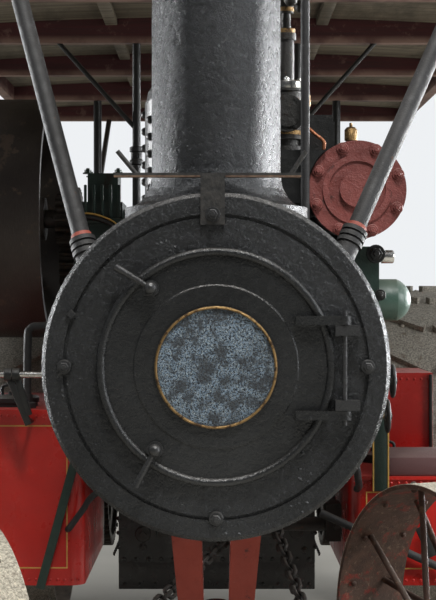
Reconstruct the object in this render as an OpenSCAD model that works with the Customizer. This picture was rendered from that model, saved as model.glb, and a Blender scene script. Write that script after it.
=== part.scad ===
// Steam traction engine, parked with its front wheels steered to one side.
// Lengths named "_back" run rearward from the smokebox front face. The engine's front looks along -Y.

/* [Boiler] */
// Height of the boiler's centre line over the ground
boiler_z = 1310; // [1290:5:1330]
// Radius of the boiler barrel
barrel_r = 405; // [400:1:410]
// Thickness of the smokebox shell
shell_t = 12; // [10:1:16]
// Where the smokebox ends and the boiler barrel starts
smokebox_back = 720; // [690:5:740]
// Radius of the front ring
ring_r = 430; // [426:1:436]
// Depth of the front ring
ring_depth = 70; // [50:5:90]
// Thickness of the smokebox front plate
plate_t = 24; // [18:1:30]
// Radius of the groove between ring and front plate
joint_r = 373; // [368:1:378]
// Front of the firebox
firebox_front = 2200; // [2180:5:2240]
// Back of the firebox
backhead_back = 2890; // [2880:5:2900]
// Underside of the firebox over the ground
firebox_bottom = 440; // [420:5:480]
// Depth of the ash pan under the firebox
ashpan_h = 110; // [80:5:130]

/* [Smokebox door] */
// Radius of the smokebox door
door_r = 294; // [288:1:298]
// Radius of the hole behind the smokebox door
mouth_r = 270; // [262:1:276]
// Thickness of the door
door_t = 14; // [10:1:18]
// Width of the half-round bead at the door's edge
bead_w = 22; // [18:1:26]
// Radius of the step in the door
door_step_r = 204; // [190:1:220]
// Radius of the blank centre plate
badge_r = 152; // [140:1:160]
// Sideways place of the door's hinge pin
hinge_x = 315; // [313:1:320]
// Distance of the hinge pin in front of the smokebox face
hinge_out = 22; // [21:1:26]
// Radius of the hinge pin
hinge_pin_r = 6; // [5:0.5:7]
// Height of the upper strap over the boiler's centre
strap_up = 115; // [105:1:125]
// Drop of the lower strap under the boiler's centre
strap_down = 117; // [105:1:125]
// Height of a hinge strap
strap_h = 22; // [18:1:26]
// Reach of the straps over the door, from the hinge pin
strap_len = 121; // [100:1:140]

/* [Chimney] */
// Distance of the chimney behind the smokebox face
chimney_back = 320; // [305:5:335]
// Radius of the chimney
chimney_r = 172; // [160:1:180]
// Wall of the chimney
chimney_wall = 14; // [10:1:20]
// Radius of the chimney's flared foot
flare_r = 243; // [230:1:250]
// Height of the chimney's flared foot
flare_h = 95; // [70:5:120]
// Height of the chimney's top over the ground
chimney_top = 3050; // [2900:10:3150]

/* [Steam dome] */
// Distance of the dome behind the smokebox face
dome_back = 1000; // [980:5:1020]
// Radius of the dome
dome_r = 220; // [205:1:230]
// Height of the dome's top over the ground
dome_top = 2210; // [2170:5:2240]

/* [Engine] */
// Sideways place of the cylinder and its motion
engine_x = 415; // [405:1:425]
// Height of the cylinder and crankshaft
engine_z = 1800; // [1780:5:1820]
// Front face of the cylinder head
cylinder_front = 720; // [700:5:740]
// Length of the cylinder with its covers
cylinder_len = 450; // [420:5:480]
// Radius of the cylinder's lagging
cylinder_r = 122; // [112:1:132]
// Radius of the cylinder covers
cover_r = 145; // [138:1:150]
// Radius of the cover's bolt circle
cover_bolt_r = 128; // [122:1:132]
// Distance of the crankshaft behind the smokebox face
crank_back = 2300; // [2290:5:2320]
// Radius of the crankshaft
crankshaft_r = 38; // [34:1:42]
// Radius of the crank disc
crank_disc_r = 170; // [160:1:180]
// Throw of the crank
crank_throw = 125; // [115:1:130]
// Radius of the flywheel
flywheel_r = 475; // [460:1:490]
// Width of the flywheel's rim
flywheel_w = 275; // [240:5:290]
// Sideways place of the flywheel's inner edge
flywheel_in = 656; // [652:1:670]

/* [Gearing] */
// Pitch circle per tooth of every gear
gear_module = 12; // [12:1:12]
// Teeth of the clutch pinion and of each final pinion
pinion_teeth = 15; // [15:1:16]
// Teeth of the idler gear
idler_teeth = 46; // [46:1:48]
// Teeth of the countershaft gear
counter_teeth = 50; // [50:1:52]
// Teeth of the main gear on each rear wheel
main_teeth = 70; // [70:1:70]
// Lean of the countershaft forward of the rear axle
counter_lean = 30; // [28:1:31]
// Width of the gears
gear_w = 60; // [50:1:64]
// Sideways place of the inner face of the crankshaft's gear train
train_in = 580; // [576:1:586]
// Sideways place of the inner face of the main gears
main_in = 480; // [476:1:490]

/* [Rear wheels] */
// Distance of the rear axle behind the smokebox face
rear_back = 3250; // [3240:5:3260]
// Radius of the rear wheels out to the tips of their lugs
rear_r = 770; // [760:1:780]
// Height of a lug
lug_h = 25; // [20:1:30]
// Thickness of the rear rims
rear_rim_t = 16; // [12:1:22]
// Width of the rear rims
rear_w = 450; // [420:5:470]
// Sideways place of the rear rims' inner edge
rear_in = 700; // [695:1:720]
// Lugs in each row of a rear wheel
lugs = 20; // [16:2:22]
// Spokes of a rear wheel
rear_spokes = 24; // [20:2:26]
// Radius of the rear axle
rear_axle_r = 50; // [45:1:55]

/* [Front wheels] */
// Distance of the kingpin behind the smokebox face
kingpin_back = 500; // [490:5:510]
// Radius of the front wheels
front_r = 460; // [450:1:470]
// Width of the front wheels
front_w = 250; // [230:5:260]
// Thickness of the front rims
front_rim_t = 14; // [10:1:18]
// Distance from the kingpin to the middle of each front wheel
front_x = 800; // [790:5:815]
// Spokes of a front wheel
front_spokes = 16; // [12:2:18]
// Radius of the front axle's ends
front_axle_r = 24; // [20:1:28]
// Angle at which the front axle is parked
steer = 27; // [24:1:28]

/* [Tanks and platform] */
// Front of the side tanks
tank_front = 1420; // [1400:5:1440]
// Back of the side tanks
tank_rear = 2350; // [2330:5:2360]
// Outer side of the water tank, from the middle
tank_out = 950; // [930:5:960]
// Top of the water tank over the ground
tank_top = 1100; // [1080:5:1110]
// Underside of the tanks over the ground
tank_bottom = 500; // [480:5:520]
// Top of the shelf on the left side
shelf_top = 874; // [850:2:890]
// Top of the bunker that stands on the shelf
bunker_top = 1200; // [1160:5:1210]
// Height of the platform floor over the ground
floor_z = 700; // [680:5:705]
// Front edge of the platform floor
floor_front = 3340; // [3330:5:3360]
// Back edge of the platform floor
floor_rear = 4330; // [4300:5:4350]
// Half width of the platform
floor_half = 640; // [620:5:660]

/* [Canopy] */
// Underside of the canopy's joists over the ground
joist_bottom = 2475; // [2450:5:2500]
// Thickness of a joist
joist_t = 45; // [38:1:52]
// Distance between joists
joist_pitch = 830; // [810:5:840]
// Distance of the first joist behind the smokebox face
joist_first = 1290; // [1280:5:1300]
// Distance of the canopy's front beam behind the smokebox face
front_beam_back = 620; // [610:5:630]
// Half width of the canopy
canopy_half = 1060; // [1030:5:1080]
// Thickness of the roof boards
board_t = 20; // [16:1:24]
// Radius of the canopy's front braces
brace_r = 24; // [20:1:26]

/* [Hidden] */
$fn = 48;
fit = 0.05;
seat = 0.3;
swing_gap = 6;

front_most = kingpin_back - front_x * sin(steer) - front_r * cos(steer) - front_w / 2 * sin(steer);
joist_count = 5;
joist_last = joist_first + (joist_count - 1) * joist_pitch;
roof_overhang = 60;
rear_most = joist_last + joist_t + roof_overhang;
middle_back = (front_most + rear_most) / 2;
barrel_top = boiler_z + barrel_r;
firebox_half = barrel_r - 18;
cylinder_back = cylinder_front + cylinder_len;
pinion_pitch_r = gear_module * pinion_teeth / 2;
main_pitch_r = gear_module * main_teeth / 2;
final_distance = pinion_pitch_r + main_pitch_r;
counter_back = rear_back - final_distance * sin(counter_lean);
counter_z = rear_r + final_distance * cos(counter_lean);
shaft_distance = norm([counter_back - crank_back, counter_z - engine_z]);
idler_reach = ceil(shaft_distance / gear_module + 1.5 - (pinion_teeth + counter_teeth) / 2);
idler_n = max(idler_teeth, idler_reach);
to_idler = gear_module * (pinion_teeth + idler_n) / 2;
idler_to_counter = gear_module * (idler_n + counter_teeth) / 2;
shaft_angle = atan2(counter_z - engine_z, counter_back - crank_back);
idler_along = (pow(shaft_distance, 2) + pow(to_idler, 2) - pow(idler_to_counter, 2)) / (2 * shaft_distance);
idler_angle = shaft_angle + acos(idler_along / to_idler);
idler_back = crank_back + to_idler * cos(idler_angle);
idler_z = engine_z + to_idler * sin(idler_angle);
counter_r = 35;
rear_mid = rear_in + rear_w / 2;
rim_in_r = rear_r - lug_h - rear_rim_t;
hub_half = rear_w / 2 + 40;

// Turns a distance behind the smokebox face into a Y place
function y_at(back) = back - middle_back;
// Height of the barrel's surface over the ground at a sideways place
function barrel_side(x) = boiler_z + sqrt(pow(barrel_r, 2) - pow(x, 2));

module at(x, back, z) translate([x, y_at(back), z]) children();
// Turns a shape drawn along Z so that it runs rearward or sideways
module rearward() rotate([-90, 0, 0]) children();
module sideways() rotate([0, 90, 0]) children();
// A box between two corners, each given as sideways, back and height
module block(a, b) translate([a[0], y_at(a[1]), a[2]]) cube([b[0] - a[0], b[1] - a[1], b[2] - a[2]]);
// Lays Z along the line between two points, each given as sideways, back and height
module along(a, b) {
  d = b - a;
  translate([a[0], y_at(a[1]), a[2]]) rotate([0, acos(d[2] / norm(d)), atan2(d[1], d[0])]) children();
}
// A round bar between two points
module rod(a, b, r) along(a, b) rotate(50) cylinder(h = norm(b - a), r = r);
module tube(h, outer, inner) difference() {
  cylinder(h = h, r = outer, $fn = 96);
  translate([0, 0, -1]) cylinder(h = h + 2, r = inner, $fn = 96);
}
// The boiler barrel's outside, to seat pieces on it
module barrel_shape(from, to, r) at(0, from, boiler_z) rearward() cylinder(h = to - from, r = r, $fn = 96);

// Half the angle of a tooth at a radius, from the involute of its base circle
function involute(a) = tan(a) * 180 / PI - a;
function tooth_half(teeth, r) = let(pitch = gear_module * teeth / 2, base = pitch * cos(20),
  at_r = r > base ? acos(base / r) : 0)
  78 / teeth + involute(20) - involute(at_r);
module gear_outline(teeth) {
  pitch = gear_module * teeth / 2;
  radii = [pitch - 1.15 * gear_module, pitch - 0.45 * gear_module, pitch + 0.15 * gear_module, pitch + 0.85 * gear_module];
  polygon([for (i = [0:teeth - 1]) let(mid = i * 360 / teeth)
    each concat(
      [for (r = radii) let(a = mid - tooth_half(teeth, r)) r * [cos(a), sin(a)]],
      [for (k = [3:-1:0]) let(a = mid + tooth_half(teeth, radii[k])) radii[k] * [cos(a), sin(a)]])]);
}
// A gear with a web, rim and hub, its teeth turned by an angle and its axis sideways
module gear(teeth, turn, bore, hub) {
  root_r = gear_module * teeth / 2 - 1.15 * gear_module;
  rim_r = root_r - 22;
  sideways() difference() {
    rotate(turn) linear_extrude(gear_w) gear_outline(teeth);
    translate([0, 0, -1]) cylinder(h = gear_w + 2, r = bore);
    if (rim_r > hub + 60) {
      for (z = [-1, gear_w - 18]) translate([0, 0, z]) tube(19, rim_r, hub);
      for (a = [0:60:300]) rotate(a) translate([(rim_r + hub) / 2, 0, -1])
        cylinder(h = gear_w + 2, r = (rim_r - hub) * 0.3);
    }
  }
}
// Turn of the second of two meshed gears, from the first gear's turn, both tooth counts and the lean
// of the line from the first axis to the second
function mesh_turn(turn, n, m, lean) = lean + 270 - (turn - lean - 90) * n / m + 180 / m;
lean_final = atan2(counter_z - rear_r, counter_back - rear_back);
lean_idler = atan2(idler_z - counter_z, idler_back - counter_back);
lean_clutch = atan2(engine_z - idler_z, crank_back - idler_back);
turn_final = mesh_turn(0, main_teeth, pinion_teeth, lean_final);
turn_idler = mesh_turn(0, counter_teeth, idler_n, lean_idler);
turn_clutch = mesh_turn(turn_idler, idler_n, pinion_teeth, lean_clutch);

// Smokebox, its front and its door
face = 4;
door_back = face - seat;
door_front = door_back - door_t;
eye_r = 17;
strap_t = 13;
module smokebox() color([0.17, 0.18, 0.19]) difference() {
  at(0, plate_t, boiler_z) rearward() tube(smokebox_back - plate_t, barrel_r, barrel_r - shell_t);
  at(0, chimney_back, boiler_z) cylinder(h = ring_r + 20, r = chimney_r - chimney_wall);
}
module smokebox_front() color([0.17, 0.18, 0.19]) at(0, 0, boiler_z) rearward() rotate_extrude($fn = 96)
  polygon([[mouth_r, face], [joint_r - 4, face], [joint_r - 4, face + 5], [joint_r + 4, face + 5],
    [joint_r + 4, 0], [ring_r - 10, 0], [ring_r, 10], [ring_r, ring_depth], [barrel_r, ring_depth],
    [barrel_r, plate_t], [mouth_r, plate_t]]);
module strap(z) difference() {
  union() {
    at(hinge_x, -hinge_out, z - strap_h / 2) cylinder(h = strap_h, r = eye_r);
    block([hinge_x - strap_len, door_front - bead_w / 2 - strap_t, z - strap_h / 2],
      [hinge_x, door_front - bead_w / 2 + 1, z + strap_h / 2]);
    block([hinge_x - strap_len, door_front - bead_w / 2, z - strap_h / 2],
      [door_r - bead_w - 30, door_front + 1, z + strap_h / 2]);
  }
  at(hinge_x, -hinge_out, z - strap_h) cylinder(h = strap_h * 2, r = hinge_pin_r + fit);
}
module smokebox_door() color([0.2, 0.21, 0.22]) {
  at(0, 0, boiler_z) rearward() rotate_extrude($fn = 96) union() {
    polygon([[0, door_back], [door_r, door_back], [door_r, door_front], [door_step_r, door_front],
      [door_step_r - 4, door_front - 3], [0, door_front - 3]]);
    translate([door_r - bead_w / 2, door_front]) circle(r = bead_w / 2);
  }
  strap(boiler_z + strap_up);
  strap(boiler_z - strap_down);
}
module door_plate() color([0.55, 0.42, 0.22]) at(0, 0, boiler_z) rearward() rotate_extrude($fn = 96)
  polygon([[0, door_front - 3], [badge_r, door_front - 3], [badge_r, door_front - 11],
    [badge_r - 8, door_front - 11], [badge_r - 8, door_front - 7], [0, door_front - 7]]);
// Each dog's hub sideways and over the boiler's centre, then its handle's lean and length
dogs = [[-159, 194, 149, 100], [-149, -201, -118, 100]];
module door_dogs() color([0.15, 0.15, 0.16]) for (d = dogs) {
  at(d[0], door_front, boiler_z + d[1]) rotate([90, 0, 0]) {
    cylinder(h = 10, r = 20);
    cylinder(h = 30, r = 11);
  }
  at(d[0], door_front - 28, boiler_z + d[1]) rotate([0, 90 - d[2], 0]) rotate(37) {
    sphere(r = 16);
    translate([0, 0, 10]) cylinder(h = d[3] - 10, r1 = 6, r2 = 9);
  }
}
lug_t = 25;
module door_hinge() color([0.15, 0.15, 0.16]) {
  for (z = [boiler_z + strap_up - strap_h / 2 - 1 - lug_t, boiler_z - strap_down + strap_h / 2 + 1])
    block([hinge_x - 24, -hinge_out - 13, z], [hinge_x + 36, face, z + lug_t]);
  at(hinge_x, -hinge_out, boiler_z - strap_down - strap_h / 2 - 14)
    cylinder(h = strap_up + strap_down + strap_h + 28, r = hinge_pin_r);
}

// Chimney, lamp bracket, barrel and dome
saddle_z = boiler_z + 290;
module chimney() color([0.16, 0.17, 0.18]) difference() {
  at(0, chimney_back, 0) rotate_extrude($fn = 96) polygon(concat(
    [[chimney_r - chimney_wall, saddle_z], [flare_r, saddle_z]],
    [for (a = [0:15:90]) [flare_r - (flare_r - chimney_r) * sin(a), barrel_top + flare_h * (1 - cos(a)) + 4]],
    [[chimney_r, chimney_top - 46], [chimney_r + 18, chimney_top - 34], [chimney_r + 18, chimney_top],
      [chimney_r - chimney_wall, chimney_top]]));
  barrel_shape(0, smokebox_back, barrel_r);
}
strap_x = -8;
lamp_z = barrel_top + 71;
module lamp_bracket() color([0.42, 0.3, 0.22]) {
  block([strap_x - 30, -8, barrel_top - 55], [strap_x + 30, 0, lamp_z]);
  block([strap_x - 30, -8, lamp_z - 8], [strap_x + 30, 130, lamp_z]);
  block([-258, 95, lamp_z], [215, 130, lamp_z + 10]);
  for (link = [[-200, -250], [188, 228]])
    rod([link[0], 112, lamp_z + 6], [link[1], 112, lamp_z + 66], 6);
}
band_w = 50;
band_t = 5;
module barrel_bands() for (b = [smokebox_back, tank_front - 120, firebox_front - 150])
  barrel_shape(b, b + band_w, barrel_r + band_t);
flue_r = 25;
flue_pitch = 72;
flue_rows = [[-2, 5], [-1, 6], [0, 7], [1, 6], [2, 5]];
// The tube plate's flues, in rows that are set over half a pitch from each other
module flues() for (row = flue_rows, k = [0:row[1] - 1])
  at((k - (row[1] - 1) / 2) * flue_pitch, smokebox_back - 1, boiler_z - 30 + row[0] * flue_pitch * 0.866)
    rearward() cylinder(h = 61, r = flue_r);
module boiler_barrel() color([0.12, 0.13, 0.14]) difference() {
  union() {
    barrel_shape(smokebox_back, firebox_front, barrel_r);
    barrel_bands();
  }
  flues();
}
module steam_dome() color([0.15, 0.15, 0.16]) difference() {
  at(0, dome_back, 0) rotate_extrude($fn = 96) polygon(concat(
    [[0, saddle_z], [dome_r + 22, saddle_z], [dome_r + 22, barrel_top + 14], [dome_r, barrel_top + 34]],
    [for (a = [0:15:90]) [45 + (dome_r - 45) * cos(a), dome_top - 120 + 120 * sin(a)]], [[0, dome_top]]));
  barrel_shape(smokebox_back, firebox_front, barrel_r);
  barrel_bands();
}
// The valve set: the safety valve on the dome, and the throttle and governor on the steam chest
chest_in = 240;
chest_top = engine_z + 230;
chest_front = cylinder_front + 80;
chest_rear = cylinder_back - 20;
valve_x = dome_r - 13;
valve_back = cylinder_front + 38;
valve_foot = engine_z + 115;
// A turned fitting, standing up: each step holds a radius and the height at which it ends
module turned(steps) rotate_extrude() polygon(concat([[0, 0]],
  [for (i = [0:len(steps) - 1]) each [[steps[i][0], i == 0 ? 0 : steps[i - 1][1]], [steps[i][0], steps[i][1]]]],
  [[0, steps[len(steps) - 1][1]]]));
ball_r = 20;
ball_out = 62;
governor_z = valve_foot + 440;
module steam_fittings() color([0.5, 0.4, 0.2]) {
  at(0, dome_back, dome_top) {
    turned([[34, 8], [26, 60], [36, 70], [30, 132], [36, 142], [20, 172]]);
    translate([0, 0, 148]) rotate([0, 100, 20]) cylinder(h = 190, r = 6);
  }
  at(valve_x, valve_back, valve_foot)
    turned([[50, 14], [38, 34], [52, 44], [52, 170], [44, 176], [56, 182], [56, 206], [24, 330], [30, 340], [30, 350],
      [14, 410], [22, 420], [22, 456], [10, 480]]);
  at(valve_x, valve_back - 62, valve_foot + 107) rearward() cylinder(h = 30, r = 54);
  at(valve_x, valve_back - 68, valve_foot + 107) rearward() cylinder(h = 8, r = 40);
  at(valve_x, valve_back, governor_z) for (a = [40, 160, 280]) rotate(a) {
    translate([ball_out, 0, 0]) sphere(r = ball_r);
    translate([14, 0, 10]) rotate([0, 98, 0]) cylinder(h = ball_out - 24, r = 5);
  }
}

// Firebox
fire_mid_z = 985;
fire_half_x = 170;
fire_half_z = 120;
fire_wall = 60;
ring_wall = 90;
module firebox_shape(from, to) at(0, from, boiler_z) rearward() linear_extrude(to - from) union() {
  circle(r = barrel_r, $fn = 96);
  translate([-firebox_half, 0]) square([2 * firebox_half, boiler_z - firebox_bottom]);
}
module firebox() color([0.12, 0.13, 0.14]) difference() {
  firebox_shape(firebox_front, backhead_back);
  block([-firebox_half + ring_wall, firebox_front + ring_wall, firebox_bottom + ring_wall],
    [firebox_half - ring_wall, backhead_back - fire_wall, boiler_z - 40]);
  block([-fire_half_x, backhead_back - fire_wall - 1, fire_mid_z - fire_half_z],
    [fire_half_x, backhead_back + 1, fire_mid_z + fire_half_z]);
}
module ash_pan() color([0.1, 0.1, 0.11]) at(0, firebox_front + 40, firebox_bottom - ashpan_h)
  rotate([90, 0, 0]) mirror([0, 0, 1]) linear_extrude(backhead_back - firebox_front - 80)
    polygon([[-firebox_half + 90, 0], [firebox_half - 90, 0], [firebox_half - 20, ashpan_h],
      [-firebox_half + 20, ashpan_h]]);
fire_hinge_x = 218;
fire_hinge_back = backhead_back + 17;
fire_door_t = 14;
module fire_door() color([0.11, 0.11, 0.12]) difference() {
  union() {
    block([-fire_half_x - 22, backhead_back + seat, fire_mid_z - fire_half_z - 22],
      [fire_half_x + 22, backhead_back + seat + fire_door_t, fire_mid_z + fire_half_z + 22]);
    for (z = [fire_mid_z - 80, fire_mid_z + 80]) {
      block([-fire_half_x + 30, backhead_back + fire_door_t, z - 18],
        [fire_hinge_x, backhead_back + fire_door_t + 11, z + 18]);
      at(fire_hinge_x, fire_hinge_back, z - 18) cylinder(h = 36, r = 14);
    }
    block([-fire_half_x + 60, backhead_back + fire_door_t, fire_mid_z - 10],
      [-fire_half_x + 80, backhead_back + 60, fire_mid_z + 10]);
  }
  at(fire_hinge_x, fire_hinge_back, fire_mid_z - 120) cylinder(h = 240, r = 7 + fit);
}
gauge_z = 1450;
module backhead_fittings() color([0.45, 0.36, 0.2]) {
  at(fire_hinge_x, fire_hinge_back, fire_mid_z - 110) cylinder(h = 220, r = 7);
  for (z = [fire_mid_z - 118, fire_mid_z + 100])
    block([fire_hinge_x - 10, backhead_back, z], [fire_hinge_x + 12, fire_hinge_back + 10, z + 18]);
  for (z = [gauge_z - 90, gauge_z + 90]) at(-150, backhead_back, z) rearward() cylinder(h = 60, r = 14);
  at(-150, backhead_back + 46, gauge_z - 120) cylinder(h = 240, r = 11);
  at(90, backhead_back, gauge_z + 60) rearward() {
    cylinder(h = 40, r = 16);
    translate([0, 0, 40]) cylinder(h = 36, r = 75);
  }
  for (k = [0:2]) at(190 + 22 * k, backhead_back, gauge_z - 110 + 70 * k) rearward() {
    cylinder(h = 52, r = 12);
    translate([0, 0, 30]) rotate([0, 90, 0]) cylinder(h = 34, r = 6);
  }
}

// Cylinder, its bed and its motion
cover_t = 26;
bed_in = 392;
bed_out = engine_x + 72;
bed_top = engine_z - 165;
bed_h = 78;
guide_r = 84;
guide_wall = 26;
guide_len = 560;
bed_rear = crank_back + 140;
foot_front = cylinder_front + 70;
foot_rear = crank_back - 150;
foot_in = engine_x - 70;
foot_len = 260;
foot_h = 150;
rod_t = 26;
crosshead_back = cylinder_back + 330;
module cylinder_shape(extra = 0) at(engine_x, cylinder_front + cover_t, engine_z) rearward() union() {
  cylinder(h = cylinder_len - cover_t, r = cylinder_r + extra);
  cylinder(h = cover_t, r = cover_r + extra);
  translate([0, 0, cylinder_len - 2 * cover_t]) cylinder(h = cover_t, r = cover_r + extra);
}
module cylinder_block() color([0.13, 0.14, 0.14]) cylinder_shape();
module cylinder_head() color([0.55, 0.23, 0.22]) at(engine_x, cylinder_front, engine_z) rearward() union() {
  cylinder(h = cover_t, r = cover_r);
  translate([0, 0, -6]) tube(8, 102, 84);
  translate([0, 0, -14]) cylinder(h = 15, r = 52);
}
module steam_chest() color([0.13, 0.14, 0.14]) difference() {
  union() {
    block([chest_in + 20, chest_front, engine_z - 60], [engine_x - 60, chest_rear, chest_top - 20]);
    for (b = [chest_front, chest_rear - 22])
      block([chest_in, b, engine_z - 75], [engine_x - 66, b + 22, chest_top]);
    block([chest_in, chest_front, chest_top - 20], [engine_x - 66, chest_rear, chest_top]);
    block([valve_x - 66, valve_back - 56, engine_z - 40], [engine_x - 60, chest_front + 22, valve_foot]);
  }
  at(0, dome_back, engine_z - 100) cylinder(h = chest_top - engine_z + 200, r = dome_r + 30);
  at(engine_x, cylinder_front - 20, engine_z) rearward() cylinder(h = cover_t + 22, r = cover_r + 3);
  cylinder_shape();
}
module engine_bed() color([0.14, 0.22, 0.18]) difference() {
  union() {
    block([bed_in, foot_front, bed_top - bed_h], [bed_out, bed_rear, bed_top]);
    for (b = [foot_front, foot_rear])
      block([foot_in, b, bed_top - bed_h - foot_h], [bed_out, b + foot_len, bed_top - bed_h + 1]);
    block([engine_x - 22, foot_front + 40, bed_top - 1], [engine_x + 22, cylinder_back + guide_len, engine_z]);
    at(engine_x, cylinder_back, engine_z) rearward() cylinder(h = guide_len, r = guide_r + guide_wall);
  }
  cylinder_shape();
  at(engine_x, cylinder_back, engine_z) rearward() cylinder(h = guide_len + 1, r = guide_r);
  block([engine_x - guide_r, cylinder_back + 160, engine_z - 60],
    [engine_x + 200, cylinder_back + guide_len - 50, engine_z + 60]);
  barrel_shape(smokebox_back, firebox_front, barrel_r);
  firebox_shape(firebox_front, backhead_back);
}
wrist_r = 15;
module crosshead() color([0.5, 0.5, 0.48]) {
  rod([engine_x, cylinder_back, engine_z], [engine_x, crosshead_back, engine_z], 20);
  at(engine_x - 60, crosshead_back + 40, engine_z) sideways() cylinder(h = 120, r = wrist_r);
  difference() {
    at(engine_x, crosshead_back - 60, engine_z) rearward() cylinder(h = 130, r = guide_r);
    block([engine_x - rod_t / 2 - 6, crosshead_back, engine_z - guide_r],
      [engine_x + rod_t / 2 + 6, crosshead_back + 80, engine_z + guide_r]);
  }
}
module connecting_rod() color([0.5, 0.5, 0.48]) difference() {
  union() {
    at(engine_x - rod_t / 2, crosshead_back + 40, engine_z) sideways() cylinder(h = rod_t, r = 34);
    at(engine_x - rod_t / 2, crank_back - crank_throw, engine_z) sideways() cylinder(h = rod_t, r = 62);
    block([engine_x - rod_t / 2, crosshead_back + 40, engine_z - 26],
      [engine_x + rod_t / 2, crank_back - crank_throw, engine_z + 26]);
  }
  at(engine_x - 60, crosshead_back + 40, engine_z) sideways() cylinder(h = 120, r = wrist_r);
}
drum_side_back = cylinder_back + 10;
module side_drum() color([0.3, 0.42, 0.36]) difference() {
  at(300, drum_side_back, boiler_z + 165) sideways() union() {
    cylinder(h = 280, r = 68);
    translate([0, 0, 280]) rotate_extrude() intersection() {
      translate([0, -20]) circle(r = 72);
      square([68, 60]);
    }
  }
  barrel_shape(smokebox_back, firebox_front, barrel_r);
}
disc_out = engine_x - rod_t / 2 - swing_gap - 18;
disc_t = 30;
bearing_in = barrel_r - 35;
bearing_out = train_in - 50;
bearing_half = 130;
module crank_bearings() color([0.14, 0.22, 0.18]) difference() {
  union() {
    block([disc_out - disc_t - 95, crank_back - 95, barrel_side(disc_out) - 60],
      [disc_out - disc_t - 12, crank_back + 95, engine_z + 40]);
    at(disc_out - disc_t - 95, crank_back, engine_z + 10) sideways() cylinder(h = 83, r = 82);
    block([-bearing_out, crank_back - bearing_half, boiler_z + 110],
      [-bearing_in, crank_back + bearing_half, engine_z + 60]);
    block([-bearing_out + 20, crank_back - bearing_half + 40, engine_z + 60],
      [-bearing_in - 20, crank_back + bearing_half - 40, engine_z + 176]);
  }
  firebox_shape(firebox_front, backhead_back);
  barrel_shape(smokebox_back, firebox_front, barrel_r);
  at(-600, crank_back, engine_z) sideways() cylinder(h = 1200, r = crankshaft_r + fit);
}
flywheel_out = flywheel_in + flywheel_w;
module crankshaft() color([0.4, 0.4, 0.4]) union() {
  at(-flywheel_out - 40, crank_back, engine_z) sideways()
    cylinder(h = flywheel_out + 40 + disc_out, r = crankshaft_r);
  at(disc_out - disc_t, crank_back, engine_z) sideways() cylinder(h = disc_t, r = crank_disc_r);
  at(disc_out - 1, crank_back - crank_throw, engine_z) sideways() cylinder(h = 19, r = 32);
}
module flywheel() color([0.14, 0.1, 0.09]) at(-flywheel_out, crank_back, engine_z) sideways() difference() {
  union() {
    tube(flywheel_w, flywheel_r, flywheel_r - 32);
    translate([0, 0, 30]) cylinder(h = flywheel_w - 60, r = 85);
    for (a = [0:60:300]) rotate(a) translate([60, 0, flywheel_w / 2]) rotate([0, 90, 0])
      cylinder(h = flywheel_r - 32 - 60 + 8, r1 = 38, r2 = 28);
  }
  cylinder(h = flywheel_w, r = crankshaft_r);
}

// Gear train
module clutch_pinion() color([0.2, 0.2, 0.2]) at(-train_in - gear_w, crank_back, engine_z)
  gear(pinion_teeth, turn_clutch, crankshaft_r + fit, 60);
module idler_gear() color([0.2, 0.2, 0.2]) at(-train_in - gear_w, idler_back, idler_z)
  gear(idler_n, turn_idler, stub_r + fit, 70);
stub_r = 30;
bracket_half = 80;
bracket_out = firebox_half + 43;
module idler_bracket() color([0.14, 0.22, 0.18]) difference() {
  union() {
    block([-bracket_out, idler_back - bracket_half, horn_top + 1], [-firebox_half, idler_back + bracket_half, idler_z]);
    at(-bracket_out, idler_back, idler_z) sideways() cylinder(h = 35, r = bracket_half);
    at(-train_in - gear_w - 8, idler_back, idler_z) sideways()
      cylinder(h = train_in + gear_w + 18 - bracket_out, r = stub_r);
    at(-train_in + 8, idler_back, idler_z) sideways() cylinder(h = train_in + 2 - bracket_out, r = stub_r + 16);
  }
  firebox_shape(firebox_front, backhead_back);
}
module countershaft() color([0.2, 0.2, 0.2]) {
  at(-train_in - gear_w - 18, counter_back, counter_z) sideways()
    cylinder(h = train_in + 2 * gear_w + 50 + main_in, r = counter_r);
  at(-train_in - gear_w, counter_back, counter_z) gear(counter_teeth, 0, counter_r - 1, 80);
  at(-main_in - gear_w, counter_back, counter_z) gear(pinion_teeth, turn_final, counter_r - 1, 60);
}
module left_pinion() color([0.2, 0.2, 0.2]) at(main_in, counter_back, counter_z)
  gear(pinion_teeth, turn_final, counter_r + fit, 60);
horn_top = counter_z + 100;
// The plates beside the firebox that carry the countershaft and the rear axle
horn_t = 24;
horn_rear = floor_front - 5;
module horn_plates() color([0.12, 0.13, 0.14]) for (s = [-1, 1]) difference() {
  at(s > 0 ? firebox_half : -firebox_half - horn_t, 0, 0) rotate([90, 0, 90]) linear_extrude(horn_t)
    polygon([[backhead_back - 260, firebox_bottom + 100], [rear_back, rear_r - 130],
      [horn_rear, rear_r - 100], [horn_rear, rear_r + 110], [counter_back + 110, horn_top],
      [backhead_back - 260, horn_top]]);
  firebox_shape(firebox_front, backhead_back);
  at(-firebox_half * 2, rear_back, rear_r) sideways() cylinder(h = firebox_half * 4, r = rear_axle_r);
  at(-firebox_half * 2, counter_back, counter_z) sideways() cylinder(h = firebox_half * 4, r = counter_r + fit);
}
module rear_axle() color([0.2, 0.2, 0.2]) union() {
  at(-rear_mid - hub_half - 22, rear_back, rear_r) sideways()
    cylinder(h = 2 * (rear_mid + hub_half + 22), r = rear_axle_r);
  for (s = [-1, 1]) at(s * (rear_mid + hub_half + 12) - 10, rear_back, rear_r) sideways()
    cylinder(h = 20, r = rear_axle_r + 22);
}

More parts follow.
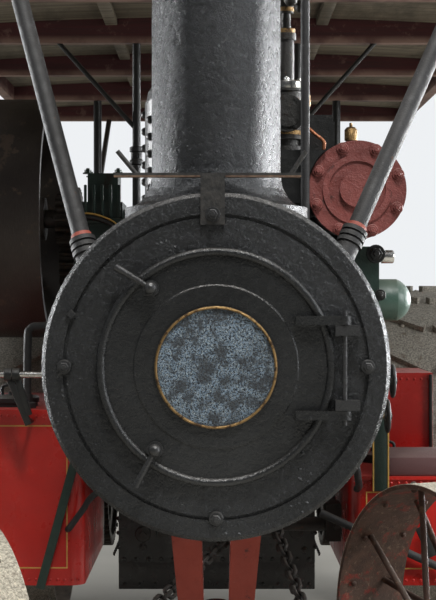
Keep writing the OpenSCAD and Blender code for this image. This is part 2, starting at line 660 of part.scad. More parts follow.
// Rear wheels. Each is drawn along Z from its middle and then laid on its axle.
module rear_rim_shape() union() {
  translate([0, 0, -rear_w / 2]) tube(rear_w, rear_r - lug_h, rim_in_r);
  for (i = [0:lugs - 1], row = [-1, 1]) rotate(i * 360 / lugs)
    translate([rear_r - lug_h - 5, 0, row * rear_w / 4]) rotate([row * 30, 0, 0])
      translate([0, -14, -rear_w / 4]) cube([lug_h + 5, 28, rear_w / 2 - 12]);
}
module spoke(hub_r, hub_z, rim_r, rim_z, r) {
  lean = atan2(rim_r - hub_r, rim_z - hub_z);
  translate([hub_r, 0, hub_z]) rotate([0, lean, 0]) cylinder(h = norm([rim_r - hub_r, rim_z - hub_z]) + 20, r = r);
}
module rear_spokes_shape() difference() {
  intersection() {
    union() {
      translate([0, 0, -hub_half]) cylinder(h = 2 * hub_half, r = 95);
      for (z = [-175, 155]) translate([0, 0, z]) cylinder(h = 20, r = 150);
      for (i = [0:rear_spokes - 1]) rotate((i + 0.5) * 360 / rear_spokes)
        spoke(110, i % 2 == 0 ? 165 : -165, rim_in_r, i % 2 == 0 ? 95 : -95, 15);
    }
    translate([0, 0, -hub_half - 1]) cylinder(h = 2 * hub_half + 2, r = rim_in_r, $fn = 96);
  }
  translate([0, 0, -hub_half - 1]) cylinder(h = 2 * hub_half + 2, r = rear_axle_r + fit);
}
module on_rear(side) at(side * rear_mid, rear_back, rear_r) sideways() children();
rear_paint = [0.45, 0.41, 0.36];
module right_rear_rim() color(rear_paint) on_rear(-1) rear_rim_shape();
module left_rear_rim() color(rear_paint) on_rear(1) rear_rim_shape();
module right_rear_spokes() color(rear_paint) on_rear(-1) rear_spokes_shape();
module left_rear_spokes() color(rear_paint) on_rear(1) rear_spokes_shape();
gear_hub_len = rear_mid - hub_half - main_in - gear_w;
module main_gear_hub() sideways() difference() {
  cylinder(h = gear_hub_len, r = 90);
  translate([0, 0, -1]) cylinder(h = gear_hub_len + 2, r = rear_axle_r + fit);
}
module right_main_gear() color([0.2, 0.2, 0.2]) union() {
  at(-main_in - gear_w, rear_back, rear_r) gear(main_teeth, 0, rear_axle_r + fit, 90);
  at(-main_in - gear_w - gear_hub_len, rear_back, rear_r) main_gear_hub();
}
module left_main_gear() color([0.2, 0.2, 0.2]) union() {
  at(main_in, rear_back, rear_r) gear(main_teeth, 0, rear_axle_r + fit, 90);
  at(main_in + gear_w, rear_back, rear_r) main_gear_hub();
}

// Pedestal and front axle
axle_half_h = 45;
turntable_h = 40;
turntable_top = front_r + axle_half_h + turntable_h;
kingpin_r = 30;
pedestal_base_top = turntable_top + 60;
leg_top = boiler_z - barrel_r - 35;
front_hub_half = 110;
module pedestal() color([0.62, 0.26, 0.2]) difference() {
  union() {
    for (s = [-1, 1]) at(0, kingpin_back + 70, 0) rotate([90, 0, 0]) linear_extrude(140)
      polygon([[s * 34, pedestal_base_top - 10], [s * 100, pedestal_base_top - 10], [s * 128, leg_top + 5],
        [s * 42, leg_top + 5]]);
    block([-210, kingpin_back - 95, leg_top], [210, kingpin_back + 95, boiler_z - barrel_r + 60]);
    at(0, kingpin_back, turntable_top + seat) cylinder(h = pedestal_base_top - turntable_top - seat, r = 125);
  }
  barrel_shape(0, smokebox_back, barrel_r);
  at(0, kingpin_back, turntable_top - 1) cylinder(h = 200, r = kingpin_r + fit);
}
beam_half = front_x - front_hub_half - 3;
module on_kingpin() at(0, kingpin_back, front_r) rotate([0, 0, steer]) children();
module front_axle() color([0.3, 0.2, 0.16]) on_kingpin() union() {
  translate([-beam_half, -axle_half_h, -axle_half_h]) cube([2 * beam_half, 2 * axle_half_h, 2 * axle_half_h]);
  cylinder(h = turntable_h + axle_half_h, r = 115);
  cylinder(h = pedestal_base_top + 30 - front_r, r = kingpin_r);
  translate([-front_x - front_hub_half - 30, 0, 0]) sideways()
    cylinder(h = 2 * (front_x + front_hub_half + 30), r = front_axle_r);
  for (s = [-1, 1]) {
    translate([s * (front_x + front_hub_half + 13) - 10, 0, 0]) sideways() cylinder(h = 20, r = front_axle_r + 14);
    translate([s * chain_x, axle_half_h - 1, 0]) rearward() cylinder(h = hook_len + 1, r = 11);
  }
}
module front_rim_shape() translate([0, 0, -front_w / 2]) tube(front_w, front_r, front_r - front_rim_t);
module front_spokes_shape() difference() {
  intersection() {
    union() {
      translate([0, 0, -front_hub_half]) cylinder(h = 2 * front_hub_half, r = 58);
      for (z = [-85, 69]) translate([0, 0, z]) cylinder(h = 16, r = 84);
      for (i = [0:front_spokes - 1]) rotate((i + 0.5) * 360 / front_spokes)
        spoke(62, i % 2 == 0 ? 77 : -77, front_r - front_rim_t, i % 2 == 0 ? 48 : -48, 10);
    }
    translate([0, 0, -front_hub_half - 1]) cylinder(h = 2 * front_hub_half + 2, r = front_r - front_rim_t, $fn = 96);
  }
  translate([0, 0, -front_hub_half - 1]) cylinder(h = 2 * front_hub_half + 2, r = front_axle_r + fit);
}
module on_front(side) on_kingpin() translate([side * front_x, 0, 0]) sideways() children();
front_paint = [0.43, 0.31, 0.25];
module right_front_rim() color(front_paint) on_front(-1) front_rim_shape();
module left_front_rim() color(front_paint) on_front(1) front_rim_shape();
module right_front_spokes() color(front_paint) on_front(-1) front_spokes_shape();
module left_front_spokes() color(front_paint) on_front(1) front_spokes_shape();

// Steering gear
drum_back = 1750;
drum_z = 660;
drum_r = 45;
drum_half = 240;
chain_x = 365;
chain_r = 7;
link_pitch = 52;
link_bend = 17;
spring_len = 150;
spring_r = 43;
spring_wire_r = 7;
spring_rod_r = 9;
loop_r = 14;
column_x = 431;
column_r = 12;
wheel_back = 3500;
hand_wheel_z = 1330;
hook_len = 20;
// Where a chain is hooked on the turned axle
function hook(side) = let(out = axle_half_h + hook_len + spring_rod_r + seat) [side * chain_x * cos(steer) - out * sin(steer),
  kingpin_back + side * chain_x * sin(steer) + out * cos(steer), front_r];
// The links run along Z. Each lies 0.3 mm from the next and stands a quarter turn from it.
link_half = (link_pitch + 2 * chain_r + seat) / 2;
module link() {
  for (s = [-1, 1]) {
    translate([0, 0, s * (link_half - link_bend)]) rotate([0, s > 0 ? 0 : 180, 0]) rotate([90, 0, 0])
      rotate_extrude(angle = 180) translate([link_bend, 0]) circle(r = chain_r);
    translate([s * link_bend, 0, -link_half + link_bend]) cylinder(h = 2 * (link_half - link_bend), r = chain_r);
  }
}
// One chain leaves the top of the drum and the other its underside, each along a tangent
chain_line_r = drum_r + link_bend * 0.71 + chain_r + seat;
function drum_point(side) = let(h = hook(side), across = [drum_back - h[1], drum_z - h[2]],
  lean = atan2(across[1], across[0]) + side * asin(chain_line_r / norm(across)))
  [side > 0 ? drum_half - 50 : 30, drum_back - side * chain_line_r * sin(lean), drum_z + side * chain_line_r * cos(lean)];
// A close-wound spring between two caps, with the eye that holds the first link
module coil_spring(len) {
  turn = 2 * spring_wire_r - 1;
  turns = floor((len - 76) / turn);
  eye_z = len - link_half + link_pitch / 2 + chain_r + 5 + seat - loop_r;
  sphere(r = spring_rod_r);
  cylinder(h = eye_z - loop_r + 2, r = spring_rod_r);
  translate([0, 0, 20]) cylinder(h = 10, r = spring_r - 2);
  translate([0, 0, 29]) rotate_extrude() union() {
    for (k = [0:turns - 1]) translate([spring_r - spring_wire_r, spring_wire_r + k * turn]) circle(r = spring_wire_r);
  }
  translate([0, 0, 28 + turns * turn]) cylinder(h = 10, r = spring_r - 2);
  translate([0, 0, eye_z]) rotate(-45) rotate([90, 0, 0]) rotate_extrude() translate([loop_r, 0]) circle(r = 5);
}
module steering_chains() color([0.35, 0.22, 0.16]) for (side = [-1, 1]) {
  a = hook(side);
  b = drum_point(side);
  run = norm(b - a) - spring_len;
  links = floor(run / link_pitch);
  slack = run - links * link_pitch;
  along(a, b) {
    coil_spring(spring_len + slack);
    translate([0, 0, spring_len + slack]) for (k = [0:links - 1])
      translate([0, 0, (k + 0.5) * link_pitch]) rotate(k % 2 * 90 + 45) link();
  }
}
module chain_drum() color([0.2, 0.2, 0.2]) union() {
  at(-drum_half, drum_back, drum_z) sideways() cylinder(h = drum_half + column_x - column_r - 22, r = drum_r - 20);
  at(-drum_half + 30, drum_back, drum_z) sideways() cylinder(h = 2 * drum_half - 60, r = drum_r);
  difference() {
    block([column_x - column_r - 24, drum_back - 55, drum_z - 55], [column_x + column_r + 5, drum_back + 55, drum_z + 80]);
    column_rod();
  }
}
module drum_hangers() {
  drum_plates();
  column_bearing();
}
module drum_plates() color([0.12, 0.13, 0.14]) difference() {
  for (x = [-drum_half + 2, drum_half - 22]) block([x, drum_back - 50, drum_z - 45], [x + 20, drum_back + 50, boiler_z - 300]);
  barrel_shape(smokebox_back, firebox_front, barrel_r);
  at(-drum_half - 10, drum_back, drum_z) sideways() cylinder(h = 3 * drum_half, r = drum_r - 20);
}
module column_rod() rod([column_x, drum_back - 90, drum_z], [column_x, wheel_back, hand_wheel_z], column_r);
module steering_column() color([0.2, 0.2, 0.2]) union() {
  column_rod();
}
column_bearing_back = 2790;
column_bearing_z = drum_z + (hand_wheel_z - drum_z) * (column_bearing_back - drum_back + 90) / (wheel_back - drum_back + 90);
module column_bearing() color([0.12, 0.13, 0.14]) difference() {
  block([firebox_half + horn_t, column_bearing_back - 25, column_bearing_z - 40],
    [column_x + column_r + 6, column_bearing_back + 25, column_bearing_z + 40]);
  column_rod();
}
module hand_wheel() color([0.2, 0.2, 0.2]) {
  lean = atan2(wheel_back - drum_back + 90, hand_wheel_z - drum_z);
  at(column_x, wheel_back, hand_wheel_z) rotate([-lean, 0, 0]) {
    rotate_extrude() translate([190, 0]) circle(r = 12);
    cylinder(h = 34, r = 30);
    for (a = [0:90:270]) rotate(a) translate([24, 0, 12]) rotate([0, 93, 0]) cylinder(h = 160, r = 9);
  }
}

// Tanks
tank_in = 452;
tank_corner = 45;
// A box with its two inner upright edges rounded
module tank(side, from, to, out, z0, z1) translate([0, 0, z0]) linear_extrude(z1 - z0) union() {
  for (b = [from + tank_corner, to - tank_corner]) translate([side * (tank_in + tank_corner), y_at(b)]) circle(r = tank_corner);
  translate([min(side * tank_in, side * (tank_in + 2 * tank_corner)), y_at(from + tank_corner)])
    square([2 * tank_corner, to - from - 2 * tank_corner]);
  translate([min(side * (tank_in + tank_corner), side * out), y_at(from)]) square([out - tank_in - tank_corner, to - from]);
}
red = [0.67, 0.09, 0.07];
module water_tank() color(red) tank(-1, tank_front, tank_rear, tank_out, tank_bottom, tank_top);
module left_tank() color(red) union() {
  tank(1, tank_front, tank_rear, tank_out, tank_bottom, shelf_top - 12);
  tank(1, tank_front - 15, tank_rear, tank_out + 15, shelf_top - 12, shelf_top);
}
bunker_len = 400;
bunker_out = tank_out - 135;
module bunker() color(red) tank(1, tank_rear - bunker_len, tank_rear, bunker_out, shelf_top, bunker_top);
module tank_beams() color([0.12, 0.13, 0.14]) difference() {
  for (b = [tank_front + 80, firebox_front - 250]) block([-tank_in, b, shelf_top - 35], [tank_in, b + 60, boiler_z - barrel_r + 30]);
  barrel_shape(smokebox_back, firebox_front, barrel_r);
}

// Platform and drawbar
channel_h = 80;
channel_in = firebox_half + horn_t;
module platform() color([0.2, 0.17, 0.15]) union() {
  for (s = [-1, 1]) block([s > 0 ? channel_in : -channel_in - 40, rear_back - 200, floor_z - channel_h],
    [s > 0 ? channel_in + 40 : -channel_in, floor_rear, floor_z]);
  block([-channel_in - 1, floor_rear - 50, floor_z - channel_h], [channel_in + 1, floor_rear, floor_z]);
  block([-channel_in - 40, floor_front, floor_z - 1], [channel_in + 40, floor_rear, floor_z + 8]);
  block([-floor_half, rear_back + main_pitch_r + 30, floor_z - 12], [floor_half, floor_rear, floor_z + 8]);
}
pin_hole_r = 20;
module drawbar() color([0.2, 0.17, 0.15]) difference() {
  block([-70, floor_rear - 260, floor_z - channel_h - 40], [70, floor_rear + 120, floor_z - channel_h]);
  at(0, floor_rear + 60, floor_z - channel_h - 50) cylinder(h = 60, r = pin_hole_r);
}

// Canopy. The joists, rails and boards share one crowned curve, drawn in equal steps.
crown = 35;
joist_h = 100;
crown_steps = 16;
rail_w = 45;
// Height of the crowned curve over the joists' underside at a sideways place
function crown_at(x) = joist_h - crown * pow(x / canopy_half, 2);
function crown_line(from, to, lift) = [for (i = [0:crown_steps]) let(x = from + (to - from) * i / crown_steps)
  [x, crown_at(x) + lift]];
// A profile drawn in the front view, run rearward between two places
module front_profile(from, to) at(0, to, joist_bottom) rotate([90, 0, 0]) linear_extrude(to - from) children();
joist_places = concat([front_beam_back], [for (i = [0:joist_count - 1]) joist_first + i * joist_pitch]);
module canopy_joists() color([0.24, 0.08, 0.08]) for (b = joist_places) front_profile(b, b + joist_t)
  polygon(concat([[canopy_half - rail_w, 0], [-canopy_half + rail_w, 0]],
    crown_line(-canopy_half + rail_w, canopy_half - rail_w, 0)));
module canopy_rails() color([0.24, 0.08, 0.08]) for (s = [-1, 1])
  front_profile(front_beam_back, rear_most - roof_overhang) polygon([[s * canopy_half, 0],
    [s * (canopy_half - rail_w), 0], [s * (canopy_half - rail_w), crown_at(canopy_half - rail_w)],
    [s * canopy_half, crown_at(canopy_half)]]);
board_half = canopy_half + 25;
module canopy_boards() color([0.6, 0.55, 0.43]) front_profile(front_beam_back - roof_overhang, rear_most)
  polygon(concat(crown_line(-board_half, board_half, board_t + seat), crown_line(board_half, -board_half, seat)));
front_post_x = barrel_r - 92;
front_post_back = joist_first + joist_pitch + joist_t / 2;
rear_post_x = floor_half - 40;
rear_post_back = joist_first + 3 * joist_pitch + joist_t / 2;
module canopy_posts() color([0.1, 0.1, 0.11]) for (s = [-1, 1]) {
  difference() {
    union() {
      rod([s * front_post_x, front_post_back, boiler_z], [s * front_post_x, front_post_back, joist_bottom], 16);
      rod([s * front_post_x, front_post_back, joist_bottom - 335],
        [s * (front_post_x + 327), front_post_back, joist_bottom + 30], 9);
    }
    barrel_shape(smokebox_back, firebox_front, barrel_r);
    block([-900, front_post_back - 60, joist_bottom], [900, front_post_back + 60, joist_bottom + 90]);
  }
  difference() {
    union() {
      rod([s * rear_post_x, rear_post_back, floor_z + 8], [s * rear_post_x, rear_post_back, joist_bottom], 20);
      rod([s * rear_post_x, rear_post_back, joist_bottom - 475],
        [s * rear_post_x, joist_last + 30, joist_bottom + 30], 14);
    }
    block([-900, joist_last - 200, joist_bottom], [900, joist_last + 200, joist_bottom + 90]);
  }
}
// Each brace runs from its foot on the smokebox to the front beam
brace_up = 182;
rail_rod_x = barrel_r - 148;
brace_foot = chimney_back - 125;
// A brace with its ridged foot socket
module brace(a, b) along(a, b) rotate(50) rotate_extrude() polygon([[0, 0], [brace_r + 6, 0], [brace_r + 6, 112],
  [brace_r + 11, 112], [brace_r + 11, 124], [brace_r + 6, 124], [brace_r + 6, 130], [brace_r + 11, 130],
  [brace_r + 11, 142], [brace_r + 6, 142], [brace_r + 6, 148], [brace_r + 11, 148], [brace_r + 11, 160],
  [brace_r, 160], [brace_r, norm(b - a)], [0, norm(b - a)]]);
module front_braces() color([0.28, 0.2, 0.18]) difference() {
  union() {
    brace([-barrel_r + 95, brace_foot, boiler_z + brace_up],
      [-canopy_half + 454, front_beam_back + 9, joist_bottom + 20]);
    brace([barrel_r - 102, brace_foot + 13, boiler_z + brace_up + 32],
      [canopy_half - 301, front_beam_back + 8, joist_bottom + 20]);
    rod([rail_rod_x, front_beam_back + joist_t / 2, boiler_z + 200],
      [rail_rod_x, front_beam_back + joist_t / 2, joist_bottom], 13);
  }
  barrel_shape(0, smokebox_back + 200, barrel_r);
  block([-900, front_beam_back - 100, joist_bottom], [900, front_beam_back + 200, joist_bottom + 90]);
}

smokebox();
smokebox_front();
smokebox_door();
door_plate();
door_dogs();
door_hinge();
chimney();
lamp_bracket();
boiler_barrel();
steam_dome();
steam_fittings();
firebox();
ash_pan();
fire_door();
backhead_fittings();
cylinder_block();
cylinder_head();
steam_chest();
engine_bed();
crosshead();
connecting_rod();
side_drum();
crank_bearings();
crankshaft();
flywheel();
clutch_pinion();
idler_gear();
idler_bracket();
countershaft();
left_pinion();
horn_plates();
rear_axle();
right_rear_rim();
right_rear_spokes();
right_main_gear();
left_rear_rim();
left_rear_spokes();
left_main_gear();
pedestal();
front_axle();
right_front_rim();
right_front_spokes();
left_front_rim();
left_front_spokes();
steering_chains();
chain_drum();
drum_hangers();
steering_column();
hand_wheel();
water_tank();
left_tank();
bunker();
tank_beams();
platform();
drawbar();
canopy_joists();
canopy_rails();
canopy_boards();
canopy_posts();
front_braces();
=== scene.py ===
# Looks of the steam traction engine: finishes, fasteners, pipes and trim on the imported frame.
import math

import bmesh
import bpy
from mathutils import Matrix, Vector


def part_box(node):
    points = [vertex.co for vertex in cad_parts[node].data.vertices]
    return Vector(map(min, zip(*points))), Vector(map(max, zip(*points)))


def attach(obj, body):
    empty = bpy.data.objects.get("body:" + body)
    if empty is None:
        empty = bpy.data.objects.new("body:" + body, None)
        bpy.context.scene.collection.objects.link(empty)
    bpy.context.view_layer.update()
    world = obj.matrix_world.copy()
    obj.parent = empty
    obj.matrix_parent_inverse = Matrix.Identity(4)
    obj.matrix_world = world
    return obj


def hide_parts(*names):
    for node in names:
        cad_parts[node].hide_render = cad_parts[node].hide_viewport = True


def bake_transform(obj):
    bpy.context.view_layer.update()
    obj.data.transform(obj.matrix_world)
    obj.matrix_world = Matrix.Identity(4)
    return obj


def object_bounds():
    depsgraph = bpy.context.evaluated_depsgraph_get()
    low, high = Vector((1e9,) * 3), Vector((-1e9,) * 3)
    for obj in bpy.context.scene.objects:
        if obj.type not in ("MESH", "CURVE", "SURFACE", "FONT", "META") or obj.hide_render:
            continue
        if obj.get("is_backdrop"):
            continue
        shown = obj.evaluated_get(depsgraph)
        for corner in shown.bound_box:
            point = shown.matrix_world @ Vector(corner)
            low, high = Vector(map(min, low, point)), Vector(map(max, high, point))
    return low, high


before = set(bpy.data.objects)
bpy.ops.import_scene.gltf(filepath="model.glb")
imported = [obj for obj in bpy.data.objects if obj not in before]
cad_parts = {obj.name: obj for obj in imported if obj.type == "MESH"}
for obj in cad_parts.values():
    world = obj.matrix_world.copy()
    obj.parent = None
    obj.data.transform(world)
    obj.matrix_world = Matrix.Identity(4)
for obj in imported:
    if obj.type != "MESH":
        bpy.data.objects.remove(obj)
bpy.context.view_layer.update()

# Places taken from the frame, in metres
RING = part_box("smokebox_front")
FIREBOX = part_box("firebox")
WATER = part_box("water_tank")
LEFT_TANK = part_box("left_tank")
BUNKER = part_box("bunker")
FRONT_Y = RING[0][1]
BOILER_Z = (RING[0][2] + RING[1][2]) / 2
BARREL_R = (RING[1][2] - RING[0][2]) / 2 - 0.025

FRONT = (0, -1, 0)
REAR = (0, 1, 0)
LEFTWARD = (1, 0, 0)
RIGHTWARD = (-1, 0, 0)
UP = (0, 0, 1)
DOWN = (0, 0, -1)

# Rivet pitches, a painted line's width, and places: back and height unless it says otherwise
SHELL_PITCH = 0.058
TANK_PITCH = 0.0245
STRIPE = 0.0045
CROSS_ROD = (1.30, 1.2265)
CRANK = (2.3, 1.8)
REAR_AXLE = (3.25, 0.77)
COLUMN = (0.207, 0.758)  # the safety valve, sideways and back
VALVE_BACK = 1.26
VALVES = ((0.583, 1.207), (0.566, 1.091))  # their hand wheels, sideways and height
GUIDE_X = 0.415
SMOOTH_DEGREES = 40
CAMERA = (0.005, -3.636, 1.475)
LENS_MM = 88.8

DUST = (0.34, 0.3, 0.25)


def at(x, back, z):
    """A point given sideways, rearward of the smokebox face, and up."""
    return Vector((x, FRONT_Y + back, z))


def centre_of(name):
    """The middle of a node's box."""
    low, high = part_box(name)
    return (Vector(low) + Vector(high)) / 2


def level(a, r=1.0):
    """A radius in the level plane, at an angle in radians."""
    return Vector((r * math.cos(a), r * math.sin(a), 0))


def facing(a, r=1.0):
    """A radius in the plane that faces the front."""
    return Vector((r * math.cos(a), 0, r * math.sin(a)))


def wheelwise(a, r=1.0):
    """A radius in the plane that a wheel turns in."""
    return Vector((0, r * math.cos(a), r * math.sin(a)))


def turns(count, start=0.0):
    """Even angles round a whole circle, from a start in degrees."""
    return [math.radians(start + 360 * k / count) for k in range(count)]


def in_scene(name, data):
    """A new object that holds the data, linked to the scene."""
    made = bpy.data.objects.new(name, data)
    bpy.context.scene.collection.objects.link(made)
    return made


# Materials


def shaded(color, share):
    """A colour made darker."""
    return tuple(c * share for c in color)


class Nodes:
    """Builds the node tree of a material or of the sky from short calls."""

    def __init__(self, owner):
        self.owner = owner
        owner.use_nodes = True
        self.tree = owner.node_tree
        self.tree.nodes.clear()
        self.coords = self.new("TexCoord").outputs["Object"]

    def new(self, kind, **inputs):
        node = self.tree.nodes.new("ShaderNode" + kind)
        for key, value in inputs.items():
            self.put(node.inputs[key.replace("_", " ")], value)
        return node

    def put(self, socket, value):
        if isinstance(value, bpy.types.NodeSocket):
            self.tree.links.new(value, socket)
        elif isinstance(value, (tuple, list)) and len(value) == 3 and socket.type == "RGBA":
            socket.default_value = (*value, 1.0)
        else:
            socket.default_value = value

    def noise(self, scale, detail=4.0, rough=0.55, stretch=None):
        where = self.coords
        if stretch:
            mapping = self.new("Mapping", Vector=where)
            mapping.inputs["Scale"].default_value = stretch
            where = mapping.outputs[0]
        return self.new("TexNoise", Vector=where, Scale=scale, Detail=detail, Roughness=rough).outputs["Fac"]

    def steps(self, value, low, high, to_low=0.0, to_high=1.0):
        node = self.new("MapRange", Value=value, From_Min=low, From_Max=high, To_Min=to_low, To_Max=to_high)
        return node.outputs[0]

    def mix(self, factor, a, b):
        node = self.new("Mix")
        node.data_type = "RGBA"
        self.put(node.inputs[0], factor)
        self.put(node.inputs[6], a)
        self.put(node.inputs[7], b)
        return node.outputs[2]

    def plus(self, a, b):
        return self.math("ADD", a, b)

    def times(self, a, b):
        return self.math("MULTIPLY", a, b)

    def math(self, operation, a, b):
        node = self.new("Math")
        node.operation = operation
        self.put(node.inputs[0], a)
        self.put(node.inputs[1], b)
        return node.outputs[0]

    def vector(self, operation, a, b=None):
        node = self.new("VectorMath")
        node.operation = operation
        self.put(node.inputs[0], a)
        if b is not None:
            node.inputs[1].default_value = b
        return node.outputs["Value" if operation == "LENGTH" else 0]

    def split(self, axis, vector=None):
        """One coordinate of a vector, or of the place on the object."""
        return self.new("SeparateXYZ", Vector=vector or self.coords).outputs[axis]

    def upward(self):
        """1 where the surface faces up."""
        normal = self.new("NewGeometry").outputs["Normal"]
        return self.steps(self.split("Z", normal), 0.25, 0.95)

    def finish(self, color, rough, metallic, height, strength, **extra):
        shader = self.new("BsdfPrincipled", Base_Color=color, Roughness=rough, Metallic=metallic)
        for key, value in extra.items():
            self.put(shader.inputs[key.replace("_", " ")], value)
        bump = self.new("Bump", Height=height, Strength=strength, Distance=0.004)
        self.put(shader.inputs["Normal"], bump.outputs[0])
        self.new("OutputMaterial", Surface=shader.outputs[0])
        return self.owner


def new_material(name):
    """The nodes of a new material."""
    return Nodes(bpy.data.materials.new(name))


def weathered(name, base, rough=0.5, metallic=0.0, shade=0.3, patches=(), dust=0.0, bump=0.35, grain=220.0,
        lumps=35.0, stretch=None, **extra):
    """Paint or bare metal with tone drift, a grain, patches of another finish, and settled dust.

    patches holds (colour, coverage, scale, roughness)."""
    n = new_material(name)
    drift = n.noise(2.2, 3.0)
    fine = n.noise(lumps, 6.0, 0.6, stretch)
    dark = shaded(base, 1 - shade)
    light = tuple(min(1.0, c * (1 + shade) + 0.01) for c in base)
    color = n.mix(n.steps(drift, 0.3, 0.7), dark, light)
    color = n.mix(n.steps(fine, 0.35, 0.75, 0.0, 0.5), color, dark)
    roughness = n.steps(fine, 0.25, 0.75, max(0.05, rough - 0.1), min(1.0, rough + 0.12))
    for patch_color, cover, scale, patch_rough in patches:
        mask = n.steps(n.noise(scale, 8.0, 0.68), 0.72 - cover * 0.5, 0.78 - cover * 0.5)
        color = n.mix(mask, color, patch_color)
        roughness = n.plus(roughness, n.times(mask, patch_rough - rough))
    if dust:
        mask = n.times(n.upward(), n.steps(n.noise(9.0, 6.0), 0.3, 0.7, dust * 0.4, dust))
        color = n.mix(mask, color, DUST)
        roughness = n.plus(roughness, n.times(mask, 0.3))
    height = n.plus(n.noise(grain, 5.0, 0.6), n.times(fine, 2.0))
    return n.finish(color, roughness, metallic, height, bump, **extra)


def rough_cast(name, base, light, bump, rough=0.36, metallic=0.55, dust=0.14):
    """Blackened castings and old plate: lumps, runs and pits, and pale specks, part flakes and part painted
    glints.
    """
    n = new_material(name)
    lumps = n.noise(52.0, 7.0, 0.68)
    drops = n.new("TexVoronoi", Vector=n.coords, Scale=58.0, Randomness=1.0).outputs["Distance"]
    drops = n.times(n.steps(drops, 0.08, 0.26, 1.0, 0.0), n.steps(n.noise(7.0, 4.0), 0.52, 0.66))
    pits_and_glint_specks = n.noise(210.0, 4.0, 0.65)
    color = n.mix(n.steps(n.noise(3.0, 3.0), 0.3, 0.7), base, shaded(base, 0.62))
    # Pale specks at the pits: partly flaked paint, partly painted glints of light on the lumps
    color = n.mix(n.steps(pits_and_glint_specks, 0.6, 0.7, 0.0, 0.6), color, light)
    rust = n.steps(n.noise(44.0, 8.0, 0.7), 0.66, 0.72, 0.0, 0.6)
    color = n.mix(rust, color, (0.05, 0.034, 0.025))
    color = n.mix(n.times(n.upward(), dust), color, DUST)
    height = n.plus(n.times(lumps, 1.9), n.times(drops, 0.9))
    height = n.plus(height, n.times(pits_and_glint_specks, 0.4))
    return n.finish(color, n.steps(lumps, 0.3, 0.7, rough - 0.07, rough + 0.16), metallic, height, bump)


def two_finishes(name, low, high):
    """The lamp bracket: a rusty cross bar, between two heights, on a black iron strap."""
    n = new_material(name)
    grain = n.noise(70.0, 6.0, 0.65)
    above = n.steps(n.split("Z"), low, low + 0.001)
    below = n.steps(n.split("Z"), high, high + 0.001, 1.0, 0.0)
    beside = n.math("ABSOLUTE", n.plus(n.split("X"), 0.008), 0.0)
    inside = n.times(n.times(above, below), n.steps(beside, 0.031, 0.033))
    rusty = n.mix(n.steps(grain, 0.35, 0.65), (0.1, 0.05, 0.03), (0.26, 0.17, 0.11))
    black = n.mix(n.steps(grain, 0.4, 0.7), (0.018, 0.018, 0.018), (0.05, 0.046, 0.042))
    color = n.mix(inside, black, rusty)
    return n.finish(color, n.steps(grain, 0.3, 0.7, 0.45, 0.75), 0.2, grain, 0.5)


def speckled_plate(name):
    """The blank plate on the door: worn blue-grey paint over iron, speckled."""
    n = new_material(name)
    coarse = n.noise(190.0, 6.0, 0.72)
    patch = n.noise(30.0, 7.0, 0.68)
    color = n.mix(n.steps(coarse, 0.47, 0.53), (0.006, 0.009, 0.014), (0.17, 0.24, 0.32))
    color = n.mix(n.steps(n.noise(520.0, 3.0, 0.6), 0.56, 0.6), color, (0.42, 0.48, 0.5))
    color = n.mix(n.steps(patch, 0.46, 0.58, 0.0, 0.8), color, (0.03, 0.03, 0.032))
    height = n.plus(coarse, patch)
    return n.finish(color, n.steps(coarse, 0.3, 0.7, 0.4, 0.75), 0.35, height, 0.5)


def planks(name, base, width, along, seam):
    """Painted or bare boards: grain along one axis and a dark seam every board's width across it."""
    n = new_material(name)
    stretch = [40.0, 40.0, 40.0]
    stretch[along] = 1.6
    grain = n.noise(1.0, 7.0, 0.65, stretch)
    across = n.math("DIVIDE", n.split("XYZ"[1 - along]), width)
    tone = n.new("TexWhiteNoise")
    tone.noise_dimensions = "1D"
    n.put(tone.inputs["W"], n.math("FLOOR", across, 0.0))
    color = n.mix(n.steps(grain, 0.35, 0.7), shaded(base, 0.45), base)
    color = n.mix(n.times(tone.outputs["Value"], 0.4), color, shaded(base, 0.55))
    stain = n.noise(1.0, 6.0, 0.7, [4.0, 1.2, 4.0])
    color = n.mix(n.steps(stain, 0.48, 0.62, 0.0, 0.75), color, shaded(base, 0.3))
    edge = n.math("PINGPONG", across, 0.5)
    color = n.mix(n.steps(edge, 0.0, 0.03, seam, 0.0), color, (0.02, 0.018, 0.015))
    height = n.plus(grain, n.steps(edge, 0.0, 0.03, -1.5, 0.0))
    return n.finish(color, 0.85, 0.0, height, 0.5)


def joist_paint(name):
    """Maroon paint on the joists, worn to pale wood along the lower edge."""
    n = new_material(name)
    grain = n.noise(1.0, 7.0, 0.65, [3.0, 40.0, 60.0])
    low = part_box("canopy_joists")[0][2]
    worn = n.steps(n.split("Z"), low + 0.006, low + 0.03, 0.85, 0.0)
    worn = n.times(worn, n.steps(n.noise(7.0, 6.0), 0.3, 0.55))
    color = n.mix(n.steps(grain, 0.3, 0.7), (0.035, 0.008, 0.009), (0.085, 0.018, 0.02))
    color = n.mix(n.steps(n.noise(14.0, 8.0, 0.7), 0.56, 0.64, 0.0, 0.8), color, (0.16, 0.09, 0.075))
    color = n.mix(worn, color, (0.3, 0.19, 0.15))
    return n.finish(color, n.steps(grain, 0.3, 0.7, 0.5, 0.8), 0.0, grain, 0.45)


